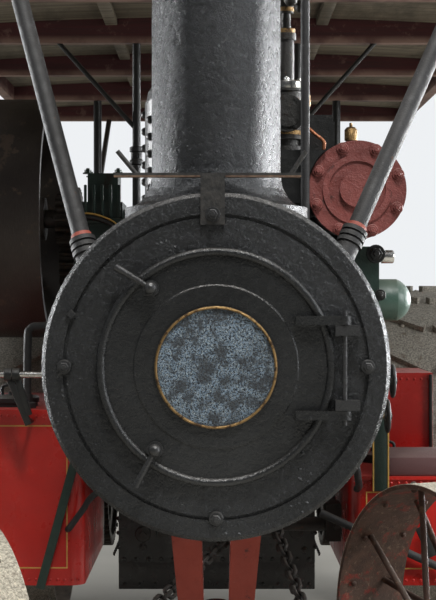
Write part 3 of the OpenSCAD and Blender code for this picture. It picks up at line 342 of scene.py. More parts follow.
def wheel_paint(name, axis, radius, inside, red, tread):
    """A wheel's rim: rust and red traces inside, and pale gravelly dust beyond a radius, on the tread."""
    n = new_material(name)
    across = n.vector("SUBTRACT", n.coords, centre_of(name))
    across = n.vector("CROSS_PRODUCT", across, Vector(axis).normalized())
    outer = n.steps(n.vector("LENGTH", across), radius - 0.002, radius - 0.001)
    grit = n.noise(150.0, 6.0, 0.75)
    mud = n.noise(26.0, 7.0, 0.7)
    color = n.mix(n.steps(mud, 0.35, 0.65), inside, shaded(inside, 0.5))
    color = n.mix(n.steps(n.noise(17.0, 6.0, 0.65), 0.55, 0.62, 0.0, 0.85), color, red)
    color = n.mix(n.steps(n.noise(60.0, 8.0, 0.7), 0.56, 0.66, 0.0, 0.7), color, (0.2, 0.14, 0.09))
    dusty = n.mix(n.steps(grit, 0.42, 0.6), shaded(tread, 0.4), tread)
    dusty = n.mix(n.steps(mud, 0.56, 0.68, 0.0, 0.6), dusty, (0.12, 0.08, 0.05))
    color = n.mix(outer, color, dusty)
    height = n.times(n.plus(grit, mud), n.steps(outer, 0.0, 1.0, 0.8, 2.2))
    return n.finish(color, n.steps(outer, 0.0, 1.0, 0.62, 0.92), 0.1, height, 0.6)


# Cast iron and old plate; light is the colour of the pale specks, partly painted glints
CASTINGS = {
    "iron": dict(base=(0.052, 0.054, 0.057), light=(0.085, 0.087, 0.09), bump=0.75, rough=0.22,
        metallic=0.7),
    "stack": dict(base=(0.042, 0.044, 0.047), light=(0.08, 0.082, 0.086), bump=0.75, rough=0.25,
        metallic=0.65, dust=0.03),
    "door": dict(base=(0.057, 0.059, 0.061), light=(0.085, 0.087, 0.09), bump=0.5, rough=0.2, metallic=0.7),
}
# Paints and worked metals
PAINTS = {
    "hardware": dict(base=(0.05, 0.051, 0.053), rough=0.26, metallic=0.55,
        patches=[((0.09, 0.07, 0.055), 0.1, 50.0, 0.6)], dust=0.15, bump=0.3, grain=260.0, lumps=70.0),
    "black_paint": dict(base=(0.01, 0.0105, 0.0105), rough=0.36, metallic=0.1,
        patches=[((0.035, 0.028, 0.022), 0.12, 22.0, 0.75)], dust=0.2, bump=0.3),
    "boiler": dict(base=(0.01, 0.011, 0.0115), rough=0.3, metallic=0.1,
        patches=[((0.035, 0.03, 0.026), 0.1, 16.0, 0.7)], dust=0.2, bump=0.25),
    "rust_bar": dict(base=(0.16, 0.08, 0.045), rough=0.72, metallic=0.2, shade=0.35,
        patches=[((0.27, 0.19, 0.13), 0.3, 40.0, 0.85), ((0.04, 0.03, 0.026), 0.25, 30.0, 0.7)]),
    "brass": dict(base=(0.3, 0.19, 0.08), rough=0.42, metallic=0.85, shade=0.35,
        patches=[((0.08, 0.05, 0.03), 0.4, 50.0, 0.7)], grain=300.0, lumps=80.0),
    "fitting": dict(base=(0.035, 0.034, 0.032), rough=0.4, metallic=0.5, shade=0.4,
        patches=[((0.14, 0.09, 0.045), 0.2, 30.0, 0.5), ((0.02, 0.015, 0.012), 0.3, 40.0, 0.7)], dust=0.2,
        bump=0.4, grain=260.0, lumps=70.0),
    "copper": dict(base=(0.42, 0.17, 0.09), rough=0.4, metallic=0.9,
        patches=[((0.12, 0.07, 0.05), 0.3, 60.0, 0.6)]),
    "red_paint": dict(base=(0.42, 0.006, 0.002), rough=0.3, shade=0.25,
        patches=[((0.17, 0.008, 0.005), 0.14, 7.0, 0.5)], dust=0.2, bump=0.16, grain=140.0, lumps=12.0,
        Coat_Weight=0.15, Coat_Roughness=0.1),
    "dull_red": dict(base=(0.21, 0.05, 0.042), rough=0.46,
        patches=[((0.08, 0.024, 0.02), 0.22, 24.0, 0.7), ((0.3, 0.12, 0.1), 0.15, 40.0, 0.6)], dust=0.35,
        bump=0.5, grain=200.0, lumps=45.0),
    # The pedestal's red is darker than the tanks', partly as painted shade for the shadow under the smokebox
    "pedestal_red": dict(base=(0.27, 0.026, 0.009), rough=0.42, shade=0.25,
        patches=[((0.3, 0.1, 0.07), 0.14, 18.0, 0.6), ((0.07, 0.014, 0.01), 0.2, 30.0, 0.7)], dust=0.3),
    "green": dict(base=(0.009, 0.026, 0.019), rough=0.38, metallic=0.1, shade=0.35,
        patches=[((0.03, 0.026, 0.02), 0.3, 20.0, 0.7)], dust=0.3),
    "drum_green": dict(base=(0.06, 0.115, 0.09), rough=0.34, shade=0.25,
        patches=[((0.13, 0.18, 0.155), 0.2, 30.0, 0.6)], dust=0.3, bump=0.2),
    "steel": dict(base=(0.34, 0.33, 0.31), rough=0.34, metallic=0.9,
        patches=[((0.12, 0.08, 0.06), 0.2, 40.0, 0.6)]),
    "worn_steel": dict(base=(0.1, 0.095, 0.09), rough=0.38, metallic=0.8, shade=0.35,
        patches=[((0.05, 0.04, 0.034), 0.3, 22.0, 0.6)], dust=0.2, bump=0.25),
    "polished": dict(base=(0.55, 0.54, 0.52), rough=0.22, metallic=1.0, shade=0.15,
        patches=[((0.16, 0.12, 0.1), 0.08, 60.0, 0.5)], bump=0.1),
    "dark_iron": dict(base=(0.032, 0.03, 0.028), metallic=0.4, shade=0.35,
        patches=[((0.09, 0.055, 0.035), 0.22, 24.0, 0.75)], dust=0.4, bump=0.4),
    "flywheel": dict(base=(0.036, 0.028, 0.024), rough=0.36, metallic=0.5, shade=0.5,
        patches=[((0.085, 0.06, 0.045), 0.25, 12.0, 0.5)], dust=0.2, bump=0.3, grain=120.0, lumps=30.0,
        stretch=[30.0, 1.5, 1.5]),
    "gear": dict(base=(0.06, 0.05, 0.042), rough=0.55, metallic=0.6, shade=0.35,
        patches=[((0.13, 0.08, 0.05), 0.25, 30.0, 0.8), ((0.015, 0.013, 0.012), 0.3, 18.0, 0.4)]),
    "dusty_wheel": dict(base=(0.3, 0.27, 0.22), rough=0.82, metallic=0.1, shade=0.28,
        patches=[((0.14, 0.09, 0.06), 0.32, 14.0, 0.85), ((0.42, 0.4, 0.35), 0.3, 30.0, 0.9)], dust=0.3,
        bump=0.5),
    "rust_wheel": dict(base=(0.065, 0.03, 0.018), rough=0.62, metallic=0.2, shade=0.4,
        patches=[((0.15, 0.09, 0.055), 0.3, 18.0, 0.8), ((0.19, 0.016, 0.008), 0.22, 26.0, 0.5),
        ((0.05, 0.033, 0.027), 0.22, 40.0, 0.75)], dust=0.25, bump=0.5),
    "pipe": dict(base=(0.026, 0.026, 0.027), rough=0.55, metallic=0.1, shade=0.35,
        patches=[((0.09, 0.05, 0.036), 0.12, 26.0, 0.7), ((0.07, 0.07, 0.072), 0.2, 60.0, 0.5)], dust=0.15,
        Specular_IOR_Level=0.3),
    "primer": dict(base=(0.32, 0.07, 0.045), rough=0.6),
    "gold": dict(base=(0.5, 0.3, 0.07), rough=0.45, metallic=0.1, shade=0.2,
        patches=[((0.2, 0.05, 0.02), 0.18, 40.0, 0.5)]),
    "maroon": dict(base=(0.085, 0.03, 0.03), rough=0.55,
        patches=[((0.12, 0.07, 0.05), 0.14, 20.0, 0.8)], dust=0.2, bump=0.4, lumps=60.0,
        stretch=[3.0, 30.0, 30.0]),
    "dial": dict(base=(0.62, 0.6, 0.54), rough=0.35, shade=0.08,
        patches=[((0.4, 0.34, 0.24), 0.1, 40.0, 0.5)]),
    "glass": dict(base=(0.5, 0.56, 0.54), rough=0.08, shade=0.1, bump=0.02, Transmission_Weight=0.85),
}
MATS = {name: rough_cast(name, **look) for name, look in CASTINGS.items()}
MATS.update({name: weathered(name, **look) for name, look in PAINTS.items()})
MATS["bracket"] = two_finishes("bracket", 1.7665, 1.7885)
MATS["plate"] = speckled_plate("plate")
MATS["boards"] = planks("boards", (0.29, 0.25, 0.185), 0.115, 0, 0.9)
MATS["joists"] = joist_paint("joists")
MATS["platform"] = planks("platform", (0.16, 0.13, 0.1), 0.12, 1, 0.9)

# The direction of the turned front axle, from one rim's centre to the other's
FRONT_AXLE = centre_of("left_front_rim") - centre_of("right_front_rim")
RIMS = {
    "_front_rim": (FRONT_AXLE, 0.46, (0.085, 0.042, 0.026), (0.2, 0.018, 0.009), (0.66, 0.6, 0.48)),
    "_rear_rim": (LEFTWARD, 0.745, (0.2, 0.16, 0.12), (0.13, 0.08, 0.055), (0.42, 0.39, 0.33)),
}
RIMS = {side + end: look for side in ("right", "left") for end, look in RIMS.items()}
MATS.update({name: wheel_paint(name, *look) for name, look in RIMS.items()})

# Each CAD node's finish
FINISH = {name: name for name in ("platform", *RIMS)}
FINISH.update({
    "iron": "smokebox smokebox_front",
    "hardware": "door_hinge door_dogs",
    "stack": "chimney",
    "door": "smokebox_door door_plate",
    "bracket": "lamp_bracket",
    "fitting": "steam_fittings",
    "boiler": "boiler_barrel steam_dome firebox",
    "black_paint": "ash_pan fire_door cylinder_block steam_chest horn_plates "
        "drum_hangers tank_beams canopy_posts",
    "brass": "backhead_fittings",
    "red_paint": "water_tank left_tank bunker",
    "dull_red": "cylinder_head",
    "pedestal_red": "pedestal",
    "green": "engine_bed crank_bearings idler_bracket",
    "drum_green": "side_drum",
    "steel": "crosshead connecting_rod",
    "worn_steel": "crankshaft",
    "flywheel": "flywheel",
    "gear": "clutch_pinion idler_gear countershaft left_pinion right_main_gear left_main_gear",
    "dark_iron": "steering_chains rear_axle chain_drum steering_column hand_wheel drawbar",
    "dusty_wheel": "right_rear_spokes left_rear_spokes",
    "rust_wheel": "front_axle right_front_spokes left_front_spokes",
    "joists": "canopy_joists canopy_rails",
    "boards": "canopy_boards",
    "pipe": "front_braces",
})
# The record's slots, and the finishes that stand for each
SLOTS = {
    "smokebox_iron": "iron stack hardware",
    "black_paint": "boiler black_paint",
    "brass": "brass copper dial glass",
    "red_paint": "red_paint",
    "dull_red_paint": "dull_red pedestal_red",
    "green_paint": "green",
    "brace_pipe": "pipe primer",
    "bright_steel": "polished steel",
    "dark_iron": "dark_iron",
    "maroon_wood": "maroon",
    "bare_wood": "boards",
    "rusty_steel": "rust_bar",
    "rusty_wheel": "rust_wheel",
    "dusty_steel": "dusty_wheel",
}
SLOTS = {finish: slot for slot, finishes in SLOTS.items() for finish in finishes.split()}
for finish, names in FINISH.items():
    for name in names.split():
        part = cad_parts[name]
        part.data.materials.clear()
        part.data.materials.append(MATS[finish])


# Shapes


def turn_to(axis):
    """A rotation that lays local Z along an axis."""
    return Vector(UP).rotation_difference(Vector(axis).normalized()).to_matrix().to_4x4()


PIECES = []


class Piece:
    """Gathers shapes into one mesh, then hangs it on a body. All are done at the end."""

    def __init__(self, name, material, body="engine", slot=None):
        self.name = name
        self.bm = bmesh.new()
        self.material = material
        self.body = body
        self.slot = slot or SLOTS.get(material)
        PIECES.append(self)

    def lathe(self, where, axis, profile, sides=24):
        """A turned shape: profile holds (radius, height) from its foot to its top."""
        place = Matrix.Translation(where) @ turn_to(axis)
        rings = []
        for radius, height in profile:
            flat = [level(a, radius) for a in turns(sides if radius else 1)]
            rings.append([place @ (p + Vector((0, 0, height))) for p in flat])
        self.shell(rings)

    def shell(self, rings):
        """Walls from each ring of points to the next, and the two ends."""
        rings = [[self.bm.verts.new(p) for p in ring] for ring in rings]
        for low, high in zip(rings, rings[1:]):
            for k in range(max(len(low), len(high))):
                corners = [low[k % len(low)], low[(k + 1) % len(low)], high[(k + 1) % len(high)],
                    high[k % len(high)]]
                corners = list(dict.fromkeys(corners))
                if len(corners) > 2:
                    self.bm.faces.new(corners)
        for ring in (rings[0][::-1], rings[-1]):
            if len(ring) > 2:
                self.bm.faces.new(ring)

    def rivet(self, where, axis, r):
        """A round-headed rivet."""
        self.lathe(where, axis, [(r, -0.002), (r, r * 0.08), (r * 0.86, r * 0.42), (r * 0.5, r * 0.66),
            (0, r * 0.74)], 12)

    def nut(self, where, axis, r, sides=6, washer=True, stud=True):
        """A nut or a square-headed bolt on its washer, with its stud's end."""
        z = 0.0
        if washer:
            self.lathe(where, axis, [(r * 1.45, -0.002), (r * 1.45, r * 0.14), (r * 1.4, r * 0.2),
                (0, r * 0.2)], 20)
            z = r * 0.2
        self.lathe(where, axis, [(r, z), (r, z + r * 0.72), (r * 0.86, z + r * 0.84), (0, z + r * 0.84)],
            sides)
        if stud:
            self.lathe(where, axis, [(r * 0.5, z), (r * 0.5, z + r * 1.15), (r * 0.42, z + r * 1.25),
                (0, z + r * 1.25)], 12)

    def slab(self, where, size, turn=None, round_off=0.002):
        """A box with its edges rounded off."""
        made = bmesh.ops.create_cube(self.bm, size=1.0)["verts"]
        place = Matrix.Translation(where) @ (turn or Matrix.Identity(4)) @ Matrix.Diagonal((*size, 1))
        bmesh.ops.transform(self.bm, matrix=place, verts=made)
        edges = list({e for v in made for e in v.link_edges})
        bmesh.ops.bevel(self.bm, geom=edges, offset=round_off, segments=2, profile=0.5, affect="EDGES")

    def pipe(self, points, r, sides=14, smooth=6):
        """A round bar or pipe along a smooth line through points."""
        line = [Vector(p) for p in points]
        if len(line) > 2:
            line = curve_through(line, smooth)
        rings = []
        across = None
        for k, point in enumerate(line):
            ahead = (line[min(k + 1, len(line) - 1)] - line[max(k - 1, 0)]).normalized()
            if across is None:
                across = ahead.orthogonal().normalized()
            across = (across - ahead * across.dot(ahead)).normalized()
            other = ahead.cross(across)
            radius = r(k / (len(line) - 1)) if callable(r) else r
            spokes = [across * math.cos(a) + other * math.sin(a) for a in turns(sides)]
            rings.append([point + radius * spoke for spoke in spokes])
        self.shell(rings)

    def band(self, centre, profile, sides, toward):
        """A ring round a dial: profile holds (radius, height) out from its back."""
        rings = []
        for a in turns(sides):
            points = [centre + facing(a, r) + Vector((0, toward * h, 0)) for r, h in profile]
            rings.append([self.bm.verts.new(p) for p in points])
        for one, two in zip(rings, rings[1:] + rings[:1]):
            for k in range(len(profile) - 1):
                self.bm.faces.new([one[k], one[k + 1], two[k + 1], two[k]])

    def done(self):
        """Makes the mesh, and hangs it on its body."""
        bmesh.ops.recalc_face_normals(self.bm, faces=self.bm.faces)
        mesh = bpy.data.meshes.new(self.name)
        self.bm.to_mesh(mesh)
        self.bm.free()
        mesh.materials.append(MATS[self.material])
        for face in mesh.polygons:
            face.use_smooth = True
        mesh.set_sharp_from_angle(angle=math.radians(SMOOTH_DEGREES))
        piece = in_scene(self.name, mesh)
        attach(piece, self.body)


def curve_through(points, steps):
    """Points along a Catmull-Rom curve through the given points."""
    ends = [points[0] * 2 - points[1]] + points + [points[-1] * 2 - points[-2]]
    line = []
    for a, b, c, d in zip(ends, ends[1:], ends[2:], ends[3:]):
        for k in range(steps):
            t = k / steps
            line.append(0.5 * ((2 * b) + (c - a) * t + (2 * a - 5 * b + 4 * c - d) * t**2 +
                (3 * b - a - 3 * c + d) * t**3))
    return line + [points[-1]]


def tilt(angle):
    """A turn about the engine's length."""
    return Matrix.Rotation(angle, 4, "Y")


def around(centre, radius, angles):
    """Points on a circle that faces the front, at angles counted upward from the left side."""
    return [centre + facing(a, radius) for a in angles]


def smokebox_studs():
    """The nuts that hold the front plate, on the groove between ring and plate."""
    piece = Piece("front_plate_studs", "hardware")
    centre = at(0, 0.0, BOILER_Z)
    for where in around(centre, 0.373, (0, math.pi, 1.5 * math.pi)):
        piece.lathe(where, FRONT, [(0.019, -0.01), (0.019, 0.004), (0.0165, 0.007), (0, 0.007)], 28)
        piece.nut(where + Vector((0, -0.006, 0)), FRONT, 0.0125, washer=False)
    piece.nut(centre + facing(math.radians(160), 0.378), FRONT, 0.013, 4, False, False)
    piece.nut(at(-0.008, -0.008, BOILER_Z + 0.375), FRONT, 0.013)


def cylinder_head_nuts():
    """Eight nuts round the red cylinder head."""
    piece = Piece("cylinder_head_nuts", "dull_red")
    centre = centre_of("cylinder_head")
    centre.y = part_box("cylinder_head")[0][1] + 0.014
    for where in around(centre, 0.128, turns(8, 20)):
        piece.lathe(where, FRONT, [(0.0185, -0.004), (0.0185, 0.003), (0.0165, 0.005), (0, 0.005)], 20)
        piece.nut(where + Vector((0, -0.005, 0)), FRONT, 0.0125, washer=False)


def ring_of_rivets(piece, back, r, low=-215, high=35):
    """Rivet heads round the boiler shell, between two angles counted upward from the left side."""
    count = round(math.radians(high - low) * BARREL_R / SHELL_PITCH)
    for k in range(count):
        out = facing(math.radians(low + (k + 0.5) * (high - low) / count))
        piece.rivet(at(0, back, BOILER_Z) + out * BARREL_R, out, r)


def line_of_rivets(piece, start, end, pitch, axis, r):
    """Rivet heads at an even pitch from one point to another."""
    start, end = Vector(start), Vector(end)
    count = max(1, round((end - start).length / pitch))
    for k in range(count + 1):
        piece.rivet(start.lerp(end, k / count), axis, r)


def door_plate_face():
    """The blank plate's field inside its brass rim."""
    piece = Piece("door_plate_field", "plate", "smokebox_door")
    piece.lathe(at(0, -0.0168, BOILER_Z), FRONT, [(0.1435, -0.001), (0.1435, 0.001), (0, 0.001)], 64)
    rim = Piece("door_plate_rim", "brass", "smokebox_door")
    profile = [(0.1433, 0.0), (0.1433, 0.0008), (0.1442, 0.0028), (0.1468, 0.004), (0.1496, 0.0028),
        (0.1505, 0.0008), (0.1505, 0.0)]
    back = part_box("door_plate")[0][1] - FRONT_Y
    rim.band(at(0, back, BOILER_Z), profile, 96, -1)


def shell_rivets():
    """Rivet rows round the smokebox and the barrel, and the smokebox's seam below."""
    piece = Piece("smokebox_rivets", "iron")
    ring_of_rivets(piece, 0.098, 0.0095)
    ring_of_rivets(piece, 0.69, 0.0095)
    low = BOILER_Z - BARREL_R
    line_of_rivets(piece, at(0, 0.13, low), at(0, 0.66, low), SHELL_PITCH, DOWN, 0.0095)
    piece = Piece("barrel_rivets", "boiler")
    for back in (0.80, 1.30, 1.345):
        ring_of_rivets(piece, back, 0.0085)
    ring_of_rivets(piece, 2.235, 0.0085, -8, 62)
    ring_of_rivets(piece, 2.235, 0.0085, 118, 188)


def dome_seam():
    """The riveted lap down the dome's right side."""
    centre = centre_of("steam_dome")
    centre.z = 0
    radius = 0.22
    low, high = 1.765, 2.088
    piece = Piece("dome_lap", "boiler")
    columns = []
    for k in range(9):
        out = level(math.radians(172 + 5 * k))
        edge = [(-0.002, low), (0.0035, low), (0.0035, high), (-0.002, high)]
        columns.append([centre + out * (radius + lift) + Vector((0, 0, z)) for lift, z in edge])
    piece.shell(columns)
    pitch = 0.0525
    for degrees, z in ((180, 1.792), (205, 1.8185)):
        out = level(math.radians(degrees))
        while z < high - 0.01:
            piece.lathe(centre + out * (radius + 0.003) + Vector((0, 0, z)), out,
                [(0.0135, -0.002), (0.0135, 0.001), (0.0115, 0.007), (0.007, 0.0115), (0, 0.0125)], 12)
            z += pitch
    for a in turns(24):
        out = level(a)
        if abs(math.sin(a)) > 0.5:
            piece.rivet(centre + out * 0.231 + Vector((0, 0, 1.727)), UP, 0.0075)


def chimney_details():
    """The rivets of the chimney's top band."""
    piece = Piece("chimney_rivets", "stack")
    centre = centre_of("chimney")
    centre.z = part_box("chimney")[1][2] - 0.035
    for a in turns(10, 18):
        out = level(a)
        piece.rivet(centre + out * 0.178, out, 0.009)


def stripe_frame(piece, x0, x1, z0, z1, back):
    """A painted line round a panel that faces the front."""
    mid_x, mid_z = (x0 + x1) / 2, (z0 + z1) / 2
    for z in (z0, z1):
        piece.slab(at(mid_x, back, z), (x1 - x0 + STRIPE, 0.0014, STRIPE), round_off=0.0004)
    for x in (x0, x1):
        piece.slab(at(x, back, mid_z), (STRIPE, 0.0014, z1 - z0 - STRIPE), round_off=0.0004)


def tanks():
    """Rivets, lines and lids of the side tanks and the bunker, and the shelf on the left."""
    rivets = Piece("tank_rivets", "red_paint")
    for box, top in ((WATER, 1.0787), (LEFT_TANK, 0.852), (BUNKER, 1.177)):
        front = box[0][1] - FRONT_Y
        rear = box[1][1] - FRONT_Y
        x0, x1 = box[0][0] + 0.018, box[1][0] - 0.018
        side, outward = (box[0][0], RIGHTWARD) if box is WATER else (box[1][0], LEFTWARD)
        low = box[0][2]
        rows = [((side, back, low + 0.045), (side, back, top - 0.025), 2 * TANK_PITCH, outward)
            for back in (front + 0.02, rear - 0.02)]
        for z in (top, low + 0.02):
            rows += [((x0, front, z), (x1, front, z), TANK_PITCH, FRONT),
                ((x0, rear, z), (x1, rear, z), TANK_PITCH, REAR),
                ((side, front + 0.02, z), (side, rear - 0.02, z), TANK_PITCH, outward)]
        for start, end, pitch, axis in rows:
            line_of_rivets(rivets, at(*start), at(*end), pitch, axis, 0.0052)
    lines = Piece("tank_lines", "gold")
    front = WATER[0][1] - FRONT_Y
    stripe_frame(lines, WATER[0][0] + 0.05, -0.511, 0.56, 1.045, front)
    front = LEFT_TANK[0][1] - FRONT_Y
    stripe_frame(lines, 0.511, LEFT_TANK[1][0] - 0.05, 0.56, 0.82, front)
    shelf = Piece("tank_shelf", "maroon")
    shelf.slab(at(0.765, 1.60, 0.906), (0.36, 0.36, 0.063), round_off=0.005)
    lids = Piece("tank_lids", "black_paint")
    for x, back, z in ((-0.72, 1.62, WATER[1][2]), (0.62, 1.88, LEFT_TANK[1][2])):
        lids.lathe(at(x, back, z), UP, [(0.085, -0.004), (0.085, 0.012), (0.09, 0.014), (0.09, 0.03),
            (0.08, 0.036), (0.02, 0.04), (0.02, 0.05), (0, 0.05)], 36)
        lids.pipe([at(x - 0.04, back, z + 0.03), at(x - 0.035, back, z + 0.07),
            at(x + 0.035, back, z + 0.07), at(x + 0.04, back, z + 0.03)], 0.006)
    for x, back, top in ((-0.93, 1.45, 1.10), (-0.93, 2.32, 1.10), (0.945, 2.32, 0.874)):
        lids.slab(at(x, back, top - 0.02), (0.05, 0.05, 0.008), round_off=0.002)
        lids.nut(at(x, back, top - 0.016), UP, 0.009)


def firebox_details():
    """Rivets and washout plugs on the throat plate, stay heads on the sides, and the ash pan's front."""
    rivets = Piece("firebox_rivets", "boiler")
    front = FIREBOX[0][1] - FRONT_Y
    line_of_rivets(rivets, at(-0.366, front, 0.4535), at(0.366, front, 0.4535), 0.048, FRONT, 0.009)
    for x in (-0.388, 0.388):
        line_of_rivets(rivets, at(x, front, 0.5), at(x, front, 0.9), 0.055, FRONT, 0.0085)
    for side, axis in ((FIREBOX[0][0], RIGHTWARD), (FIREBOX[1][0], LEFTWARD)):
        for row in range(6):
            for k in range(4):
                rivets.rivet(at(side, front + 0.07 + 0.12 * k, 0.56 + 0.12 * row), axis, 0.009)
        line_of_rivets(rivets, at(side, front + 0.03, 0.47), at(side, front + 0.66, 0.47), 0.052, axis,
            0.009)
    skirt = Piece("ash_pan_front", "boiler")
    skirt.slab(at(0, front + 0.028, 0.392), (0.776, 0.016, 0.122), round_off=0.002)
    line_of_rivets(skirt, at(-0.366, front + 0.02, 0.352), at(0.366, front + 0.02, 0.352), 0.061, FRONT,
        0.007)
    plugs = Piece("washout_plugs", "dark_iron")
    for x, z, r in ((-0.291, 0.552, 0.031), (0.3126, 0.564, 0.029), (-0.29, 0.503, 0.013),
            (0.347, 0.49, 0.012)):
        plugs.lathe(at(x, front, z), FRONT, [(r, -0.004), (r, 0.006), (r * 0.9, 0.011), (r * 0.45, 0.012)],
            24)
        plugs.lathe(at(x, front - 0.01, z), FRONT, [(r * 0.5, -0.003), (r * 0.5, 0.014), (0, 0.014)], 4)


def right_side_pipes():
    """The right side of the engine: feed pipe, polished rod, lever straps and the strap by the tank."""
    pipe = Piece("feed_pipe", "pipe")
    pipe.pipe([at(-0.39, 1.5, 1.385), at(-0.60, 1.5, 1.385), at(-0.645, 1.5, 1.375), at(-0.655, 1.5, 1.33),
        at(-0.657, 1.5, 1.09)], 0.014, 18, 8)
    pipe.lathe(at(-0.656, 1.5, 1.098), UP, [(0.03, 0), (0.03, 0.02), (0.018, 0.024), (0.018, 0.05)], 6)
    pipe.lathe(at(-0.40, 1.5, 1.385), RIGHTWARD, [(0.034, 0), (0.034, 0.012), (0.022, 0.016),
        (0.022, 0.04)], 20)
    pipe.pipe([at(-0.395, 1.385, 0.83), at(-0.43, 1.385, 0.80), at(-0.452, 1.385, 0.765),
        at(-0.476, 1.385, 0.733), at(-0.50, 1.40, 0.70), at(-0.51, 1.43, 0.69)], 0.011, 14, 6)
    rod = Piece("cross_rod", "polished")
    rod.pipe([at(-0.395, *CROSS_ROD), at(-0.79, *CROSS_ROD)], 0.011, 20)
    straps = Piece("lever_straps", "black_paint")
    for x0, x1, z1, w in ((-0.695, -0.632, 1.072, 0.024), (-0.668, -0.628, 1.105, 0.02)):
        top, foot = at(x0, *CROSS_ROD), at(x1, CROSS_ROD[0], z1)
        lean = math.atan2(x1 - x0, top.z - z1)
        straps.slab((top + foot) / 2, (w, 0.01, (top - foot).length + 0.03), tilt(-lean), 0.003)
        straps.lathe(top, RIGHTWARD, [(0.021, -0.012), (0.021, 0.012)], 20)
    straps.lathe(at(-0.40, *CROSS_ROD), RIGHTWARD, [(0.045, 0), (0.045, 0.014), (0.024, 0.02),
        (0.024, 0.05)], 24)
    straps.pipe([at(-0.632, CROSS_ROD[0], 1.078), at(-0.632, 1.43, 1.06)], 0.008)
    bar = Piece("tank_strap", "green")
    bar.slab(at(-0.54, 1.397, 0.715), (0.03, 0.012, 0.46), tilt(math.atan2(0.12, 0.44)), 0.002)


def left_side_pipes():
    """The left side of the engine: check valves with hand wheels, their guard, pipes and two bars."""
    wheels = Piece("valve_wheels", "black_paint")
    for x, z in VALVES:
        centre = at(x, VALVE_BACK, z)
        wheels.pipe(loop(centre, LEFTWARD, 0.05), 0.0065, 10, 1)
        for a in turns(4, 20):
            wheels.pipe([centre, centre + wheelwise(a, 0.05)], 0.005, 8)
        wheels.lathe(centre - Vector((0.012, 0, 0)), LEFTWARD, [(0.012, 0), (0.012, 0.026), (0, 0.028)], 16)
    valves = Piece("check_valves", "brass")
    for x, z in VALVES:
        valves.lathe(at(0.455, VALVE_BACK, z), LEFTWARD, [(0.026, -0.02), (0.026, 0.03), (0.02, 0.036),
            (0.02, 0.05), (0.0075, 0.055), (0.0075, x - 0.455)], 20)
        valves.lathe(at(0.462, VALVE_BACK, z - 0.034), UP, [(0.022, 0), (0.022, 0.014), (0.017, 0.018),
            (0.017, 0.052), (0.022, 0.056), (0.022, 0.07)], 6)
    pipes = Piece("delivery_pipes", "pipe")
    pipes.pipe([at(0.39, VALVE_BACK, 1.33), at(0.44, VALVE_BACK, 1.325), at(0.462, VALVE_BACK, 1.29),
        at(0.462, VALVE_BACK, 1.20), at(0.462, VALVE_BACK, 0.96), at(0.468, 1.28, 0.90),
        at(0.48, 1.35, 0.85), at(0.48, 1.42, 0.83)], 0.0125, 16, 6)
    pipes.lathe(at(0.403, VALVE_BACK, 1.33), LEFTWARD, [(0.034, -0.01), (0.034, 0.01), (0.022, 0.014),
        (0.022, 0.03)], 20)
    pipes.pipe([at(0.35, 1.38, 0.755), at(0.86, 1.388, 0.52)], 0.0135, 18)
    guard = Piece("valve_guard", "green")
    guard.slab(at(0.558, 1.396, 0.96), (0.055, 0.014, 0.27), round_off=0.003)
    edge = Piece("guard_edges", "gold")
    for x in (0.5325, 0.5835):
        edge.slab(at(x, 1.3885, 0.96), (0.005, 0.0024, 0.27), round_off=0.0006)
    bars = Piece("brake_bar", "black_paint")
    bars.slab(at(0.712, 1.386, 0.655), (0.035, 0.008, 0.11), tilt(-0.42), 0.002)
    bars.slab(at(0.806, 1.94, 1.035), (0.012, 0.012, 0.32), round_off=0.002)


def loop(centre, axis, r, count=28):
    """A closed ring of points round an axis, for a pipe."""
    turn = turn_to(axis)
    return [centre + turn @ level(a, r) for a in (*turns(count), 0.0)]


